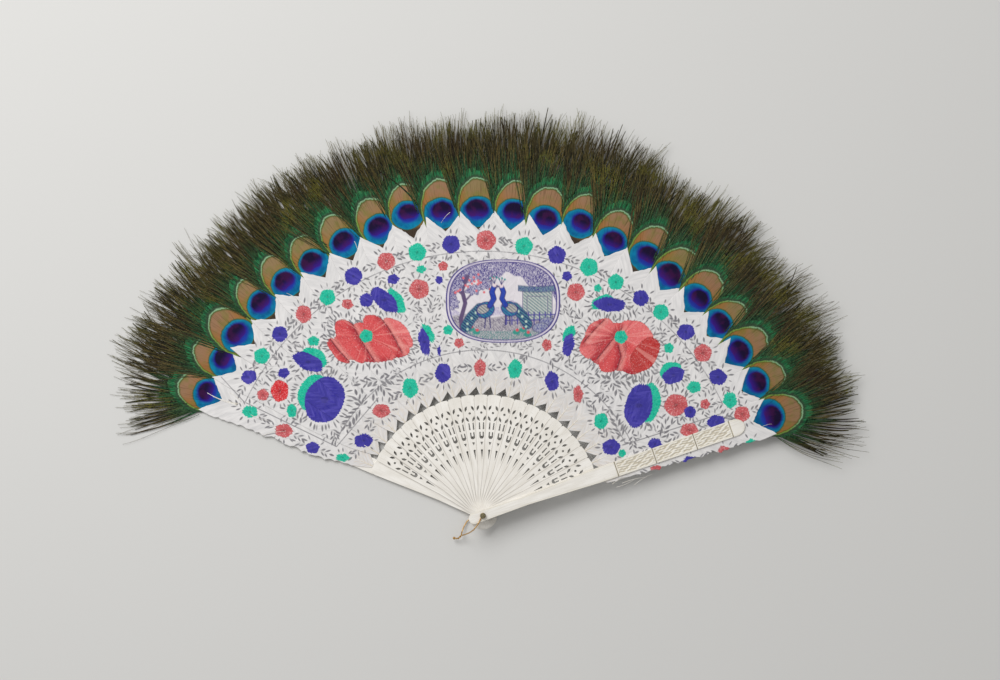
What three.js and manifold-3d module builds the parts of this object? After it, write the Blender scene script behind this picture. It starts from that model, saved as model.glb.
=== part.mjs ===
// A folding feather fan, open and lying face up.
// Millimetres. +Z is up, towards the painted face, and is the pivot's axis. +Y is up the open fan, +X is
// to the right of it. The origin is the middle of the flat under the rivet's lower head.
//
// Each blade is a bone stick with one white feather let into its tip and one peacock feather glued behind
// that. The blades are stacked in layers on one rivet, each over the blade on its left. A blade is drawn
// along its own +X with its underside at z = 0, then tilted, lifted into its layer and turned to its place.

import Module from "manifold-3d";
import * as THREE from "three";
import { mergeVertices } from "three/addons/utils/BufferGeometryUtils.js";

const wasm = await Module();
wasm.setup();

// The open fan
const bladeCount = 22;
const rearDeg = 156.3;
const spreadDeg = 137.2;

// Clearances
const stickGap = 0.25;
const leafGap = 0.17;
const plateGap = 0.2;
const seatGap = 0.3;
const runningGap = 0.2;
const endPlay = 0.25;
// How far two joined bodies of one piece run into each other, and how far a cut runs past a face
const weld = 0.04;
const overrun = 1;

// Sticks: a rounded head, a slim throat and a broad gorge
const stick = {
  thick: 0.45,
  length: 108.5,
  headReach: 13.2,
  headHalf: 4.9,
  throatAt: 42,
  throatHalf: 4.2,
  shoulderHalf: 6.6,
  cornerLength: 4.2,
  cornerWidth: 1.1,
  crown: 0.7,
  socketDepth: 6.5,
};

// Piercing of the gorge, from the tip down: a four-petalled flower round a dot, two slots, a fork, a bud and
// a drop. Their places are shares of the stick's length and, for the pairs, of its half width.
const piercing = {
  petalLength: 5.4,
  petalWidth: 2.8,
  petalLeanDeg: 24,
  upperAtShare: 0.888,
  upperAcrossShare: 0.42,
  lowerAtShare: 0.802,
  lowerAcrossShare: 0.39,
  dotRadius: 1.15,
  dotAtShare: 0.849,
  slotLength: 6.2,
  slotWidth: 1.25,
  slotAtShare: 0.74,
  slotAcrossShare: 0.27,
  forkLength: 6.2,
  forkWidth: 4.0,
  forkProng: 1.15,
  forkFoot: 2.6,
  forkAtShare: 0.662,
  budLength: 2.9,
  budWidth: 2.6,
  budAtShare: 0.594,
  dropLength: 9.9,
  dropWidth: 2.1,
  dropAtShare: 0.501,
};
// One petal: pointed ends, full outer side, nearly straight inner side
const petalShares = [[-0.5, 0], [-0.2, 0.42], [0.16, 0.5], [0.5, 0.06], [0, -0.26]];
// One slot, a little wider at its foot, and one bud, a triangle that points to the pivot
const slotShares = [[-0.5, -0.6], [0.5, -0.3], [0.5, 0.5], [-0.5, 0.5]];
const budShares = [[-0.5, 0], [0.5, -0.5], [0.5, 0.5]];
// One drop: a round top end and a long tail
const dropShares = [[-0.5, 0], [0.3, -0.32], [0.42, -0.5], [0.5, 0], [0.42, 0.5], [0.3, 0.32]];

// Guards: a stick with a thick carved plate over its outer face
const guard = {
  length: 249,
  thick: 1.5,
  half: 6.75,
  tipHalf: 7.5,
  tipLength: 9,
  rim: 1.3,
  pocketDepth: 0.55,
  pocketCorner: 2.2,
  rosetteRadius: 2.9,
  leafLength: 9.5,
  leafWidth: 3.4,
  reliefHeight: 0.4,
};
// Dividers between the carved panels, as shares of the guard's length
const dividerShares = [0.51, 0.655, 0.811, 0.948];
// A carved leaf: a pointed oval
const leafShares = [[-0.5, 0], [-0.15, -0.5], [0.25, -0.36], [0.5, 0], [0.25, 0.36], [-0.15, 0.5]];
const leafAtShare = 0.3;

// White feather: a quill let into the stick and a vane with a swallow-tailed tip
const quill = { rootHalf: 0.85, rootHeight: 0.42, endHalf: 0.3, endHeight: 0.31, shortOfNotch: 3 };
const vane = { thick: 0.14, reach: 273.5, notchDepth: 16.1, half: 17.3 };
// Edges of the vane: place along it and half width, as shares. The right vane is the broad one.
const rightShares = [[0, 0.08], [0.038, 0.53], [0.49, 0.78], [0.912, 1], [1, 0.93]];
const leftShares = [
  [0, 0.08], [0.038, 0.225], [0.153, 0.5], [0.36, 0.73], [0.72, 0.83], [0.912, 0.99], [1, 0.93],
];

// Peacock feather, placed from the vane's tip: a root under the vane, the eye and a spray of loose barbs
const plume = {
  thick: 0.16,
  rootBelowTip: 30.5,
  rootHalf: 2.5,
  neckBelowTip: 11.5,
  neckHalf: 13.5,
  centrePastTip: 7.5,
  rimLength: 22,
  rimHalf: 17.5,
  barbReach: 84,
  eyeBelowTip: 1.5,
  eyeLength: 13.5,
  eyeHalf: 12.8,
  eyeRise: 0.06,
};
const barbCount = 11;
const barbSpreadDeg = 132;
// Reach of the barbs from the middle one to the outermost, as shares of the longest
const barbReachShares = [1, 1, 0.99, 0.97, 0.9, 0.66];
// How far out the barbs part, from the eye's rim to their tips
const partingShare = 0.5;

// Rivet, and the wire loop for a tassel that swings on it
const rivet = { postRadius: 1.2, headRadius: 2.6, headHeight: 0.9, faceRadius: 1.9 };
const loop = {
  deg: 223.7,
  wire: 1.1,
  eyeWidth: 1.1,
  reach: 27.4,
  tipHeight: 6.2,
  stemRadius: 0.85,
  stemLength: 3.6,
  beadRadius: 1.3,
  beadDrop: 1.6,
  beadAt: 33.6,
  beadSide: -2.6,
  clear: 0.6,
};
// How far each leg bows sideways over the heads' edge, and the share of that halfway over the heads
const bow = { front: 3.3, rear: -5.4 };
const halfwayShare = 0.7;
// The two legs beyond the heads: place along the free reach, sideways bow and fall or rise, as shares
const frontLegShares = [[0.12, 0.98, 0.02], [0.4, 0.86, 0.28], [0.7, 0.5, 0.66], [0.9, 0.18, 0.9]];
const rearLegShares = [[0.12, 0.95, 0.02], [0.45, 0.72, 0.16], [0.75, 0.38, 0.5], [0.92, 0.12, 0.84]];

// Heights of the stack, worked out from the rivet's lower face up
const bladeStep = THREE.MathUtils.degToRad(spreadDeg / (bladeCount - 1));
const lastBlade = bladeCount - 1;
const postHole = rivet.postRadius + runningGap;
const lowerEyeLow = rivet.headHeight + endPlay;
const rearPlateLow = lowerEyeLow + loop.wire + endPlay;
const firstLayer = rearPlateLow + guard.thick + plateGap;
const pivotPitch = stick.thick + stickGap;
const vaneTop = plume.thick - weld / 2 + vane.thick;
const leafPitch = vaneTop + leafGap;
// The layers close up towards the feathers' tips, and the whole leaf falls until the rear guard's tip
// rests on the ground
const pitchLoss = (pivotPitch - leafPitch) / vane.reach;
const commonFall = rearPlateLow / guard.length;
const frontTop = stick.thick + plateGap + guard.thick;
const layerHeight = (blade) => firstLayer + blade * pivotPitch;
const layerFall = (blade) => commonFall + blade * pitchLoss;
const frontPlateHigh = layerHeight(lastBlade) + frontTop + layerFall(lastBlade) * stick.headReach;
const upperEyeLow = frontPlateHigh + endPlay;
const upperHeadLow = upperEyeLow + loop.wire + endPlay;

// Materials
const bone = new THREE.MeshStandardMaterial({ color: 0xe4e1d6, roughness: 0.42, metalness: 0 });
const feather = new THREE.MeshStandardMaterial({ color: 0xe2e0e2, roughness: 0.85, metalness: 0 });
const brass = new THREE.MeshStandardMaterial({ color: 0xb08a4e, roughness: 0.35, metalness: 1 });

// A closed three.js geometry as a solid that can be joined and cut
function solidOf(geometry) {
  geometry.deleteAttribute("normal");
  geometry.deleteAttribute("uv");
  const merged = mergeVertices(geometry);
  const vertProperties = new Float32Array(merged.attributes.position.array);
  const triVerts = new Uint32Array(merged.index.array);
  return new wasm.Manifold(new wasm.Mesh({ numProp: 3, vertProperties, triVerts }));
}

function geometryOf(solid) {
  const mesh = solid.getMesh();
  const geometry = new THREE.BufferGeometry();
  geometry.setAttribute("position", new THREE.BufferAttribute(new Float32Array(mesh.vertProperties), 3));
  geometry.setIndex(new THREE.BufferAttribute(new Uint32Array(mesh.triVerts), 1));
  return geometry;
}

const joined = (solids) => solids.reduce((all, one) => all.add(one));

// A flat body of the given outline between two heights
function slab(shape, low, high, curveSegments = 4) {
  const depth = high - low;
  return new THREE.ExtrudeGeometry(shape, { depth, bevelEnabled: false, curveSegments }).translate(0, 0, low);
}

function polygon(points, kind = THREE.Shape) {
  const outline = new kind();
  outline.setFromPoints(points.map(([x, y]) => new THREE.Vector2(x, y)));
  outline.closePath();
  return outline;
}

// Shares of a length and a width, leaned by an angle and set down at a place
function placed(shares, length, width, at, across, lean = 0) {
  return shares.map(([along, side]) => {
    const x = along * length;
    const y = side * width;
    return [at + x * Math.cos(lean) - y * Math.sin(lean), across + x * Math.sin(lean) + y * Math.cos(lean)];
  });
}

const mirrored = (points) => points.map(([x, y]) => [x, -y]).reverse();

function roundPoints(count, radius, at) {
  return Array.from({ length: count }, (_, i) => {
    const turn = ((2 * i + 1) * Math.PI) / count;
    return [at + radius * Math.cos(turn), radius * Math.sin(turn)];
  });
}

// The outline shared by the sticks and the guards' own sticks, with the socket for the quill in its tip
function stickShape() {
  const { length, headReach, headHalf, throatAt, throatHalf, shoulderHalf } = stick;
  const socketHalf = quill.rootHalf + seatGap;
  const side = [
    [throatAt, throatHalf],
    [length - stick.cornerLength, shoulderHalf],
    [length - stick.crown, shoulderHalf - stick.cornerWidth],
    [length, socketHalf],
    [length - stick.socketDepth, socketHalf],
  ];
  const shape = new THREE.Shape();
  shape.absarc(headHalf - headReach, 0, headHalf, Math.PI / 2, 1.5 * Math.PI, false);
  side.forEach(([x, y]) => shape.lineTo(x, -y));
  side.reverse().forEach(([x, y]) => shape.lineTo(x, y));
  shape.closePath();
  shape.holes.push(new THREE.Path().absarc(0, 0, postHole, 0, 2 * Math.PI, true));
  return shape;
}

// The pierced pattern of one stick
function piercedHoles() {
  const { petalLength, petalWidth, slotLength, slotWidth, budLength, budWidth } = piercing;
  const along = (share) => share * stick.length;
  const across = (share) => share * stick.shoulderHalf;
  const lean = THREE.MathUtils.degToRad(piercing.petalLeanDeg);
  const petal = (atShare, acrossShare, tilt) =>
    placed(petalShares, petalLength, petalWidth, along(atShare), across(acrossShare), tilt);
  const slotAcross = across(piercing.slotAcrossShare);
  const pairs = [
    petal(piercing.upperAtShare, piercing.upperAcrossShare, -lean),
    petal(piercing.lowerAtShare, piercing.lowerAcrossShare, lean),
    placed(slotShares, slotLength, slotWidth, along(piercing.slotAtShare), slotAcross),
  ];
  return [
    ...pairs,
    ...pairs.map(mirrored),
    roundPoints(6, piercing.dotRadius, along(piercing.dotAtShare)),
    forkPoints(along(piercing.forkAtShare)),
    placed(budShares, budLength, budWidth, along(piercing.budAtShare), 0),
    placed(dropShares, piercing.dropLength, piercing.dropWidth, along(piercing.dropAtShare), 0),
  ];
}

// A two-pronged fork, prongs up
function forkPoints(at) {
  const { forkLength, forkWidth, forkProng, forkFoot } = piercing;
  const low = at - forkLength / 2;
  const high = at + forkLength / 2;
  const half = forkWidth / 2;
  const right = [
    [low, -half / 2],
    [low + forkFoot / 2, -half],
    [high, -half],
    [high, forkProng - half],
    [low + forkFoot, forkProng - half],
  ];
  return [...right, ...mirrored(right)];
}

function piercedStick() {
  const shape = stickShape();
  piercedHoles().forEach((points) => shape.holes.push(polygon(points, THREE.Path)));
  return slab(shape, 0, stick.thick);
}

// The plate of a guard: a round head like the sticks', and a blade that widens to a rounded tip
function plateShape() {
  const { headReach, headHalf, throatAt, throatHalf } = stick;
  const tipAt = guard.length - guard.tipLength;
  const shape = new THREE.Shape();
  shape.absarc(headHalf - headReach, 0, headHalf, Math.PI / 2, 1.5 * Math.PI, false);
  shape.lineTo(throatAt, -throatHalf);
  shape.lineTo(stick.length, -guard.half);
  shape.absellipse(tipAt, 0, guard.tipLength, guard.tipHalf, -Math.PI / 2, Math.PI / 2, false);
  shape.lineTo(stick.length, guard.half);
  shape.lineTo(throatAt, throatHalf);
  shape.closePath();
  shape.holes.push(new THREE.Path().absarc(0, 0, postHole, 0, 2 * Math.PI, true));
  return shape;
}

// One carved panel between two dividers: the pocket to cut, and the rosette and leaves that stand in it
function panel(from, to) {
  const low = from * guard.length + guard.rim / 2;
  const high = to * guard.length - guard.rim / 2;
  const half = guard.half - guard.rim;
  const corner = guard.pocketCorner;
  const right = [[low, corner - half], [low + corner, -half], [high - corner, -half], [high, corner - half]];
  const pocket = [...right, ...mirrored(right)];
  const centre = (low + high) / 2;
  const offset = leafAtShare * (high - low);
  const reliefs = [
    roundPoints(8, guard.rosetteRadius, centre),
    placed(leafShares, guard.leafLength, guard.leafWidth, centre + offset, 0),
    placed(leafShares, -guard.leafLength, -guard.leafWidth, centre - offset, 0),
  ];
  return { pocket, reliefs };
}

// A guard: its plate, its own stick, and panels carved into the plate's outer face
function carvedGuard(plateLow, stickLow, stickHigh, outward) {
  const plateHigh = plateLow + guard.thick;
  const outer = outward > 0 ? plateHigh : plateLow;
  const floor = outer - outward * guard.pocketDepth;
  const plate = solidOf(slab(plateShape(), plateLow, plateHigh));
  const ownStick = solidOf(slab(stickShape(), stickLow, stickHigh));
  const slabBetween = (points, a, b) => solidOf(slab(polygon(points), Math.min(a, b), Math.max(a, b)));
  const panels = dividerShares.slice(1).map((to, i) => panel(dividerShares[i], to));
  const pockets = panels.map(({ pocket }) => slabBetween(pocket, floor, outer + outward * overrun));
  const reliefs = panels
    .flatMap((one) => one.reliefs)
    .map((points) => slabBetween(points, floor - outward * weld, floor + outward * guard.reliefHeight));
  return geometryOf(joined([plate.add(ownStick).subtract(joined(pockets)), ...reliefs]));
}

// The white vane's outline, from its base over the stick's tip to its two points
function vanePoints() {
  const base = stick.length + seatGap;
  const length = vane.reach - base;
  const edge = (shares) => shares.map(([along, half]) => [base + along * length, half * vane.half]);
  const right = edge(rightShares).map(([x, y]) => [x, -y]);
  return [...right, [vane.reach - vane.notchDepth, 0], ...edge(leftShares).reverse()];
}

// The quill tapers both ways on its way up the vane
function quillSolid() {
  const root = stick.length - stick.socketDepth + seatGap;
  const end = vane.reach - vane.notchDepth - quill.shortOfNotch;
  const right = [[root, -quill.rootHalf], [end, -quill.endHalf]];
  const geometry = slab(polygon([...right, ...mirrored(right)]), 0, quill.rootHeight);
  const position = geometry.attributes.position;
  for (let i = 0; i < position.count; i += 1) {
    if (position.getZ(i) > 0 && position.getX(i) > root + overrun) {
      position.setZ(i, quill.endHeight);
    }
  }
  return solidOf(geometry);
}

// The peacock feather's outline: its root, then barbs that part halfway out and end in points
function plumePoints() {
  const middle = (barbCount - 1) / 2;
  const step = THREE.MathUtils.degToRad(barbSpreadDeg / (barbCount - 1));
  const centreAt = vane.reach + plume.centrePastTip;
  const rimAt = (turn) => Math.hypot(plume.rimLength * Math.cos(turn), plume.rimHalf * Math.sin(turn));
  const reachOf = (barb) => plume.barbReach * barbReachShares[Math.abs(barb - middle)];
  const at = (turn, radius) => [centreAt + radius * Math.cos(turn), radius * Math.sin(turn)];
  const points = [];
  for (let barb = 0; barb < barbCount; barb += 1) {
    const turn = (barb - middle) * step;
    points.push(at(turn, reachOf(barb)));
    if (barb < barbCount - 1) {
      const parting = turn + step / 2;
      const rim = rimAt(parting);
      const reach = Math.min(reachOf(barb), reachOf(barb + 1));
      points.push(at(parting, rim + partingShare * (reach - rim)));
    }
  }
  const outermost = middle * step + step / 2;
  const neck = [
    at(outermost, rimAt(outermost)),
    [vane.reach - plume.neckBelowTip, plume.neckHalf],
    [vane.reach - plume.rootBelowTip, plume.rootHalf],
  ];
  return [...mirrored(neck), ...points, ...neck];
}

function eyeShape() {
  const shape = new THREE.Shape();
  const eyeAt = vane.reach - plume.eyeBelowTip;
  shape.absellipse(eyeAt, 0, plume.eyeLength, plume.eyeHalf, 0, 2 * Math.PI, false);
  return shape;
}

function pairedFeather() {
  const vaneLow = vaneTop - vane.thick;
  return geometryOf(joined([
    solidOf(slab(polygon(vanePoints()), vaneLow, vaneTop)),
    solidOf(slab(polygon(plumePoints()), 0, plume.thick)),
    solidOf(slab(eyeShape(), plume.thick - weld, plume.thick + plume.eyeRise, 6)),
    quillSolid(),
  ]));
}

// Tilts a blade's piece so that it falls away from the pivot: a flat piece along the blade, a spread one
// evenly all round the pivot
function tilted(geometry, blade, spread) {
  const position = geometry.attributes.position;
  const fall = layerFall(blade);
  for (let i = 0; i < position.count; i += 1) {
    const away = spread ? Math.hypot(position.getX(i), position.getY(i)) : position.getX(i);
    position.setZ(i, position.getZ(i) - fall * away);
  }
  return geometry;
}

// The rivet: a post with a flat-faced head at each end, turned in one piece
function rivetGeometry() {
  const { postRadius, headRadius, headHeight, faceRadius } = rivet;
  const rimHeight = headHeight / 2;
  const profile = [
    [0, 0],
    [faceRadius, 0],
    [headRadius, rimHeight],
    [headRadius, headHeight],
    [postRadius, headHeight],
    [postRadius, upperHeadLow],
    [headRadius, upperHeadLow],
    [headRadius, upperHeadLow + rimHeight],
    [faceRadius, upperHeadLow + headHeight],
    [0, upperHeadLow + headHeight],
  ];
  return new THREE.LatheGeometry(profile.map(([r, z]) => new THREE.Vector2(r, z)), 16).rotateX(Math.PI / 2);
}

function wireAlong(points, radius, steps) {
  const section = new THREE.Shape().absarc(0, 0, radius, 0, 2 * Math.PI, false);
  const path = new THREE.CatmullRomCurve3(points.map(([x, y, z]) => new THREE.Vector3(x, y, z)));
  return solidOf(new THREE.ExtrudeGeometry(section, { steps, extrudePath: path, curveSegments: 3 }));
}

function wireEye(low) {
  const inner = rivet.postRadius + seatGap;
  const ring = new THREE.Shape().absarc(0, 0, inner + loop.eyeWidth, 0, 2 * Math.PI, false);
  ring.holes.push(new THREE.Path().absarc(0, 0, inner, 0, 2 * Math.PI, true));
  return solidOf(slab(ring, low, low + loop.wire, 6));
}

// One leg of the loop: level over the heads from its eye, then bowed out and brought to the tip
function loopLeg(level, sideways, shares) {
  const start = rivet.postRadius + seatGap + loop.eyeWidth / 2;
  const free = stick.headReach + loop.wire / 2 + loop.clear;
  const beyond = shares.map(([along, side, drop]) => [
    free + along * (loop.reach - free),
    side * sideways,
    level + drop * (loop.tipHeight - level),
  ]);
  const halfway = [(start + free) / 2, halfwayShare * sideways, level];
  const over = [[start, 0, level], halfway, [free, sideways, level]];
  return wireAlong([...over, ...beyond, [loop.reach, 0, loop.tipHeight]], loop.wire / 2, 16);
}

// A pear-shaped wire loop, its ends closed into eyes on the rivet and its tip twisted into a stem and bead
function loopGeometry() {
  const stemEnd = loop.reach + loop.stemLength;
  const beadPlace = [loop.beadAt, loop.beadSide, loop.tipHeight - loop.beadDrop];
  const stem = [
    [loop.reach - loop.wire, 0, loop.tipHeight],
    [stemEnd, 0, loop.tipHeight - loop.beadDrop / 2],
    beadPlace,
  ];
  return geometryOf(joined([
    wireEye(upperEyeLow),
    wireEye(lowerEyeLow),
    loopLeg(upperEyeLow + loop.wire / 2, bow.front, frontLegShares),
    loopLeg(lowerEyeLow + loop.wire / 2, bow.rear, rearLegShares),
    wireAlong(stem, loop.stemRadius, 6),
    solidOf(new THREE.SphereGeometry(loop.beadRadius, 8, 6).translate(...beadPlace)),
  ]));
}

function piece(name, geometry, material) {
  const mesh = new THREE.Mesh(geometry, material);
  mesh.name = name;
  return mesh;
}

// The stick, or the guard at either end of the row
function stickPiece(blade) {
  if (blade === 0) {
    const plateLow = -plateGap - guard.thick;
    return piece("rear_guard", carvedGuard(plateLow, -plateGap - weld, stick.thick, -1), bone);
  }
  if (blade === lastBlade) {
    const plateLow = stick.thick + plateGap;
    return piece("front_guard", carvedGuard(plateLow, 0, plateLow + weld, 1), bone);
  }
  return piece(`stick_${String(blade).padStart(2, "0")}`, piercedStick(), bone);
}

function bladeGroup(blade) {
  const group = new THREE.Group();
  const body = stickPiece(blade);
  tilted(body.geometry, blade, false);
  const plumes = piece(`feather_${String(blade).padStart(2, "0")}`, pairedFeather(), feather);
  tilted(plumes.geometry, blade, true);
  group.add(body, plumes);
  group.position.z = layerHeight(blade);
  group.rotation.z = THREE.MathUtils.degToRad(rearDeg) - blade * bladeStep;
  return group;
}

const fan = new THREE.Group();
for (let blade = 0; blade < bladeCount; blade += 1) {
  fan.add(bladeGroup(blade));
}
fan.add(piece("pivot_rivet", rivetGeometry(), brass));
const tassel = piece("tassel_loop", loopGeometry(), brass);
tassel.rotation.z = THREE.MathUtils.degToRad(loop.deg);
fan.add(tassel);

export default fan;
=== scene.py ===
"""An open folding fan lying face up: painted white feathers tipped with peacock eyes, on pierced bone sticks.

Lengths are millimetres until a mesh is made. A blade's own x runs out along it, y to its left, and w up from
its underside. Blade 0 carries the rear guard on the left, and each blade lies over the one on its left.
"""

import math

import bpy
import numpy as np
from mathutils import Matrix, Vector


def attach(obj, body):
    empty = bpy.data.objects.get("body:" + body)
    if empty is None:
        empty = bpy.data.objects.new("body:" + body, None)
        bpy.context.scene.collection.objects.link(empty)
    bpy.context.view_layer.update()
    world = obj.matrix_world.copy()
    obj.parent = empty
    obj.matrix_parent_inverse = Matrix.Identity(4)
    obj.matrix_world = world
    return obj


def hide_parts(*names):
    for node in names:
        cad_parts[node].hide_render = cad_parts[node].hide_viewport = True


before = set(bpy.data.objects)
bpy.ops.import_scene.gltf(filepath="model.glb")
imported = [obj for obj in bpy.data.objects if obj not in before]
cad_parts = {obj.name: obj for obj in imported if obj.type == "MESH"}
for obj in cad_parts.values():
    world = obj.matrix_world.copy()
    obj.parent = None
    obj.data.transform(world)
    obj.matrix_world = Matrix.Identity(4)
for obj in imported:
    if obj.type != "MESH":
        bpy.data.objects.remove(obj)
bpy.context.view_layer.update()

MM = 0.001

# The photograph: its width, one pixel on the fan in mm, and the pixels of the pivot and of its middle
FRAME_WIDTH = 1000
PX = 0.9
PIVOT_PX = (483, 515)
MIDDLE_PX = (500, 340)
CAMERA_HEIGHT = 2500
LEAF_HEIGHT = 12

# Blades: where the first points, how far the last has turned from it, and how the layers lie
BLADES = 22
REAR_DEG = 156.3
SPREAD_DEG = 137.2
LAYER_LOW = 4.2
PITCH = 0.7
PITCH_LOSS = 0.25 / 273.5
COMMON_FALL = 2.5 / 249

# Sticks and guards
HEAD_REACH = 13.2
HEAD_HALF = 4.9
THROAT_AT = 42
THROAT_HALF = 4.2
SHOULDER_HALF = 6.6
STICK_THICK = 0.45
STICK_END = 108.5
CORNER = (4.2, 1.1)
CORNER_CROWN = 0.7
SOCKET_DEPTH = 6.5
SOCKET_HALF = 1.15
PLATE_GAP = 0.2
PLATE_THICK = 1.5
GUARD_HALF = 6.75
GUARD_TIP_HALF = 7.5
GUARD_END = 249
GUARD_TIP = 9
GUARD_GRID = (660, 33)
BEVEL = 0.3
EDGE_LINE_AT = 0.9
EDGE_LINE_DEPTH = 0.16
DIVIDER_SHARES = (0.51, 0.655, 0.811, 0.948)
DIVIDER_DEPTH = 0.9
DIVIDER_HALF = 0.8
CARVED_DEPTH = 0.55
PANEL_RIM = 1.1

# White feather: its vane, quill and the clearances of the plug at its foot (inner, aside, beneath, above)
UNDER_STEP = 6
VANE_GRID = (224, 61)
VANE_FROM = 108.8
NOTCH_AT = 257.4
TIP_RISE = 16.1
TIP_FRAY = 0.45
SIDE_FRAY = 0.8
FRAY_KNOTS = (23, 50)
FRAY_STARTS = (112, 125)
VANE_HALF = 17.3
VANE_TOP = 0.28
VANE_THICK = 0.12
RIPPLE = 0.035
RIDGE = 0.12
RIDGE_HALF = 0.7
RIDGE_STARTS = (120, 165)
CROWN = 0.35
CROWN_RISES = (110, 150)
CROWN_FALLS = (350, 290)
RIGHT_SHARES = ((0, 0.08), (0.038, 0.53), (0.49, 0.78), (0.912, 1), (1, 0.93))
LEFT_SHARES = ((0, 0.08), (0.038, 0.225), (0.153, 0.5), (0.36, 0.73), (0.72, 0.83), (0.912, 0.99), (1, 0.93))
QUILL_ROOT = 107.6
QUILL_CLIMBS = (108, 116)
QUILL_THINS = 117
QUILL_SINKS = 132
QUILL_HALVES = (0.7, 0.22)
QUILL_FLAT = 0.34
QUILL_LOW = 0.22
QUILL_LIFT = 0.04
QUILL_DROP = 0.24
PLUG_ROOM = (0.03, 0.01, 0.01, 0.005)

# Peacock feather: its eye, close web and loose barbs
EYE_CENTRE = 279
AZURE_CENTRE = 272.6
RIM_UP = 24.6
RIM_DOWN = 30
RIM_HALF = 17.4
WEB_GRID = (60, 49)
WEB_LOW = ((0, 243), (2.5, 243), (13.5, 260), (17.5, 272), (21.5, 280))
WEB_SIDE = 3.6
WEB_PAST = 8
WEB_FRAY = 2.5
WEB_TOP = 0.13
WEB_THICK = 0.1
BARB_TIP = 357
BARB_FAN_DEG = 100
BARB_SPREAD = 3.2
STEADY_SHARE = 0.86
LOOSE_TIMES = 2.6
TUFTS = 9
TUFT_SPREAD = 5
SIDE_LOSS = 16
FREE_LOSS = 14
# Flat ribbons beneath the barbs, dark partly as painted shade: their count and heights
SHADE_RIBBONS = 60
SHADE_RIBBON_LEVELS = (0.03, 0.07)
BARBS = 96
BARB_LEVELS = (0.12, 0.28)
HAIRS = 44
HAIR_LENGTH = 1.3
HAIR_WIDTH = 0.3
HAIR_SPAN = (0.05, 0.985)
HAIR_SLANT = (0.5, 0.8)
HAIR_TAPER = 0.32

# Rivet and wire loop
POST_RADIUS = 1.2
BORE_RADIUS = 1.4
RIVET_HEAD = 2.6
RIVET_FACE = 1.9
RIVET_RISE = 0.9
UPPER_HEAD_LOW = 23.04
LOOP_DEG = 223.7
WIRE_HALF = 0.55
EYE_MIDDLE = 2.05
EYE_LEVELS = (22.24, 1.7)
LOOP_FREE = 14.35
LOOP_REACH = 27.4
LOOP_HEIGHT = 6.2
LOOP_BOWS = (3.3, -5.4)
LEG_SHARES = (
    ((0.12, 0.98, 0.02), (0.4, 0.86, 0.28), (0.7, 0.5, 0.66), (0.9, 0.18, 0.9)),
    ((0.12, 0.95, 0.02), (0.45, 0.72, 0.16), (0.75, 0.38, 0.5), (0.92, 0.12, 0.84)),
)
STEM_LENGTH = 3.6
TWIST_RADIUS = 0.42
TWIST_HALF = 0.44
BEAD_PLACE = (33.6, -2.6, 4.6)
BEAD_RADIUS = 1.3


def from_photo(px, py):
    """A pixel of the photograph as a place on the fan, mm from the pivot."""
    return (px - PIVOT_PX[0]) * PX, (PIVOT_PX[1] - py) * PX


def rgb(red, green, blue):
    """A colour given as it looks on a screen, 0 to 255, as the linear values that a shader takes."""
    shares = np.array([red, green, blue]) / 255
    linear = np.where(shares <= 0.04045, shares / 12.92, ((shares + 0.055) / 1.055) ** 2.4)
    return tuple(float(v) for v in linear)


def smooth_step(values, low, high):
    """0 below low, 1 above high, and an S-shaped rise between."""
    t = np.clip((values - low) / (high - low), 0, 1)
    return t * t * (3 - 2 * t)


def turned(x, y, angle):
    """Places turned anticlockwise about the origin."""
    cos, sin = math.cos(angle), math.sin(angle)
    return x * cos - y * sin, x * sin + y * cos


def onward(x, y, heading, step):
    """The place that lies a step away on a heading."""
    return x + step * math.cos(heading), y + step * math.sin(heading)


# Meshes


def put(name, data):
    """An object with the given data, linked to the scene."""
    made = bpy.data.objects.new(name, data)
    bpy.context.scene.collection.objects.link(made)
    return made


def mesh_object(name, points, faces, attributes=None, smooth=True):
    """An object at the origin from points in mm and lists of faces, each list an array (count, corners)."""
    mesh = bpy.data.meshes.new(name)
    corners = np.concatenate([part.ravel() for part in faces])
    sizes = np.concatenate([np.full(len(part), part.shape[1]) for part in faces])
    mesh.vertices.add(len(points))
    mesh.vertices.foreach_set("co", (np.asarray(points) * MM).ravel())
    mesh.loops.add(len(corners))
    mesh.polygons.add(len(sizes))
    mesh.polygons.foreach_set("loop_start", np.concatenate([[0], np.cumsum(sizes)[:-1]]))
    mesh.polygons.foreach_set("vertices", corners)
    mesh.polygons.foreach_set("use_smooth", np.full(len(sizes), smooth))
    mesh.update(calc_edges=True)
    for key, values in (attributes or {}).items():
        kind, field = ("FLOAT_VECTOR", "vector") if values.ndim == 2 else ("FLOAT", "value")
        mesh.attributes.new(key, kind, "POINT").data.foreach_set(field, values.ravel())
    return put(name, mesh)


def finish_piece(piece, look, body, slot, *nodes):
    """Dresses a new piece, makes it ride on its body and hides the CAD nodes that it stands for."""
    piece.data.materials.append(look)
    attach(piece, body)
    if nodes:
        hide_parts(*nodes)
    return piece


def blade_body(blade):
    if blade == 0:
        return "rear_blade"
    if blade == BLADES - 1:
        return "front_blade"
    return f"blade_{blade:02d}"


def feather_piece(kind, blade, look, slot, points, faces, attributes=None, smooth=True):
    """A piece of one blade's feathers, which rides on the blade."""
    piece = mesh_object(f"{kind}_{blade:02d}", points, faces, attributes, smooth)
    return finish_piece(piece, look, blade_body(blade), slot, f"feather_{blade:02d}")


def blade_angle(blade):
    return math.radians(REAR_DEG - blade * SPREAD_DEG / (BLADES - 1))


def on_blade(blade, x, y, w, spread=True):
    """Places of a blade's own x, y and w on the open fan.

    The blade is turned to its angle and lifted to its layer, and falls evenly on the way out: with the
    distance from the pivot for feathers, and with x for sticks.
    """
    away = np.hypot(x, y) if spread else x
    height = LAYER_LOW + blade * PITCH + w - (COMMON_FALL + blade * PITCH_LOSS) * away
    return np.stack(np.broadcast_arrays(*turned(x, y, blade_angle(blade)), height), axis=-1)


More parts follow.
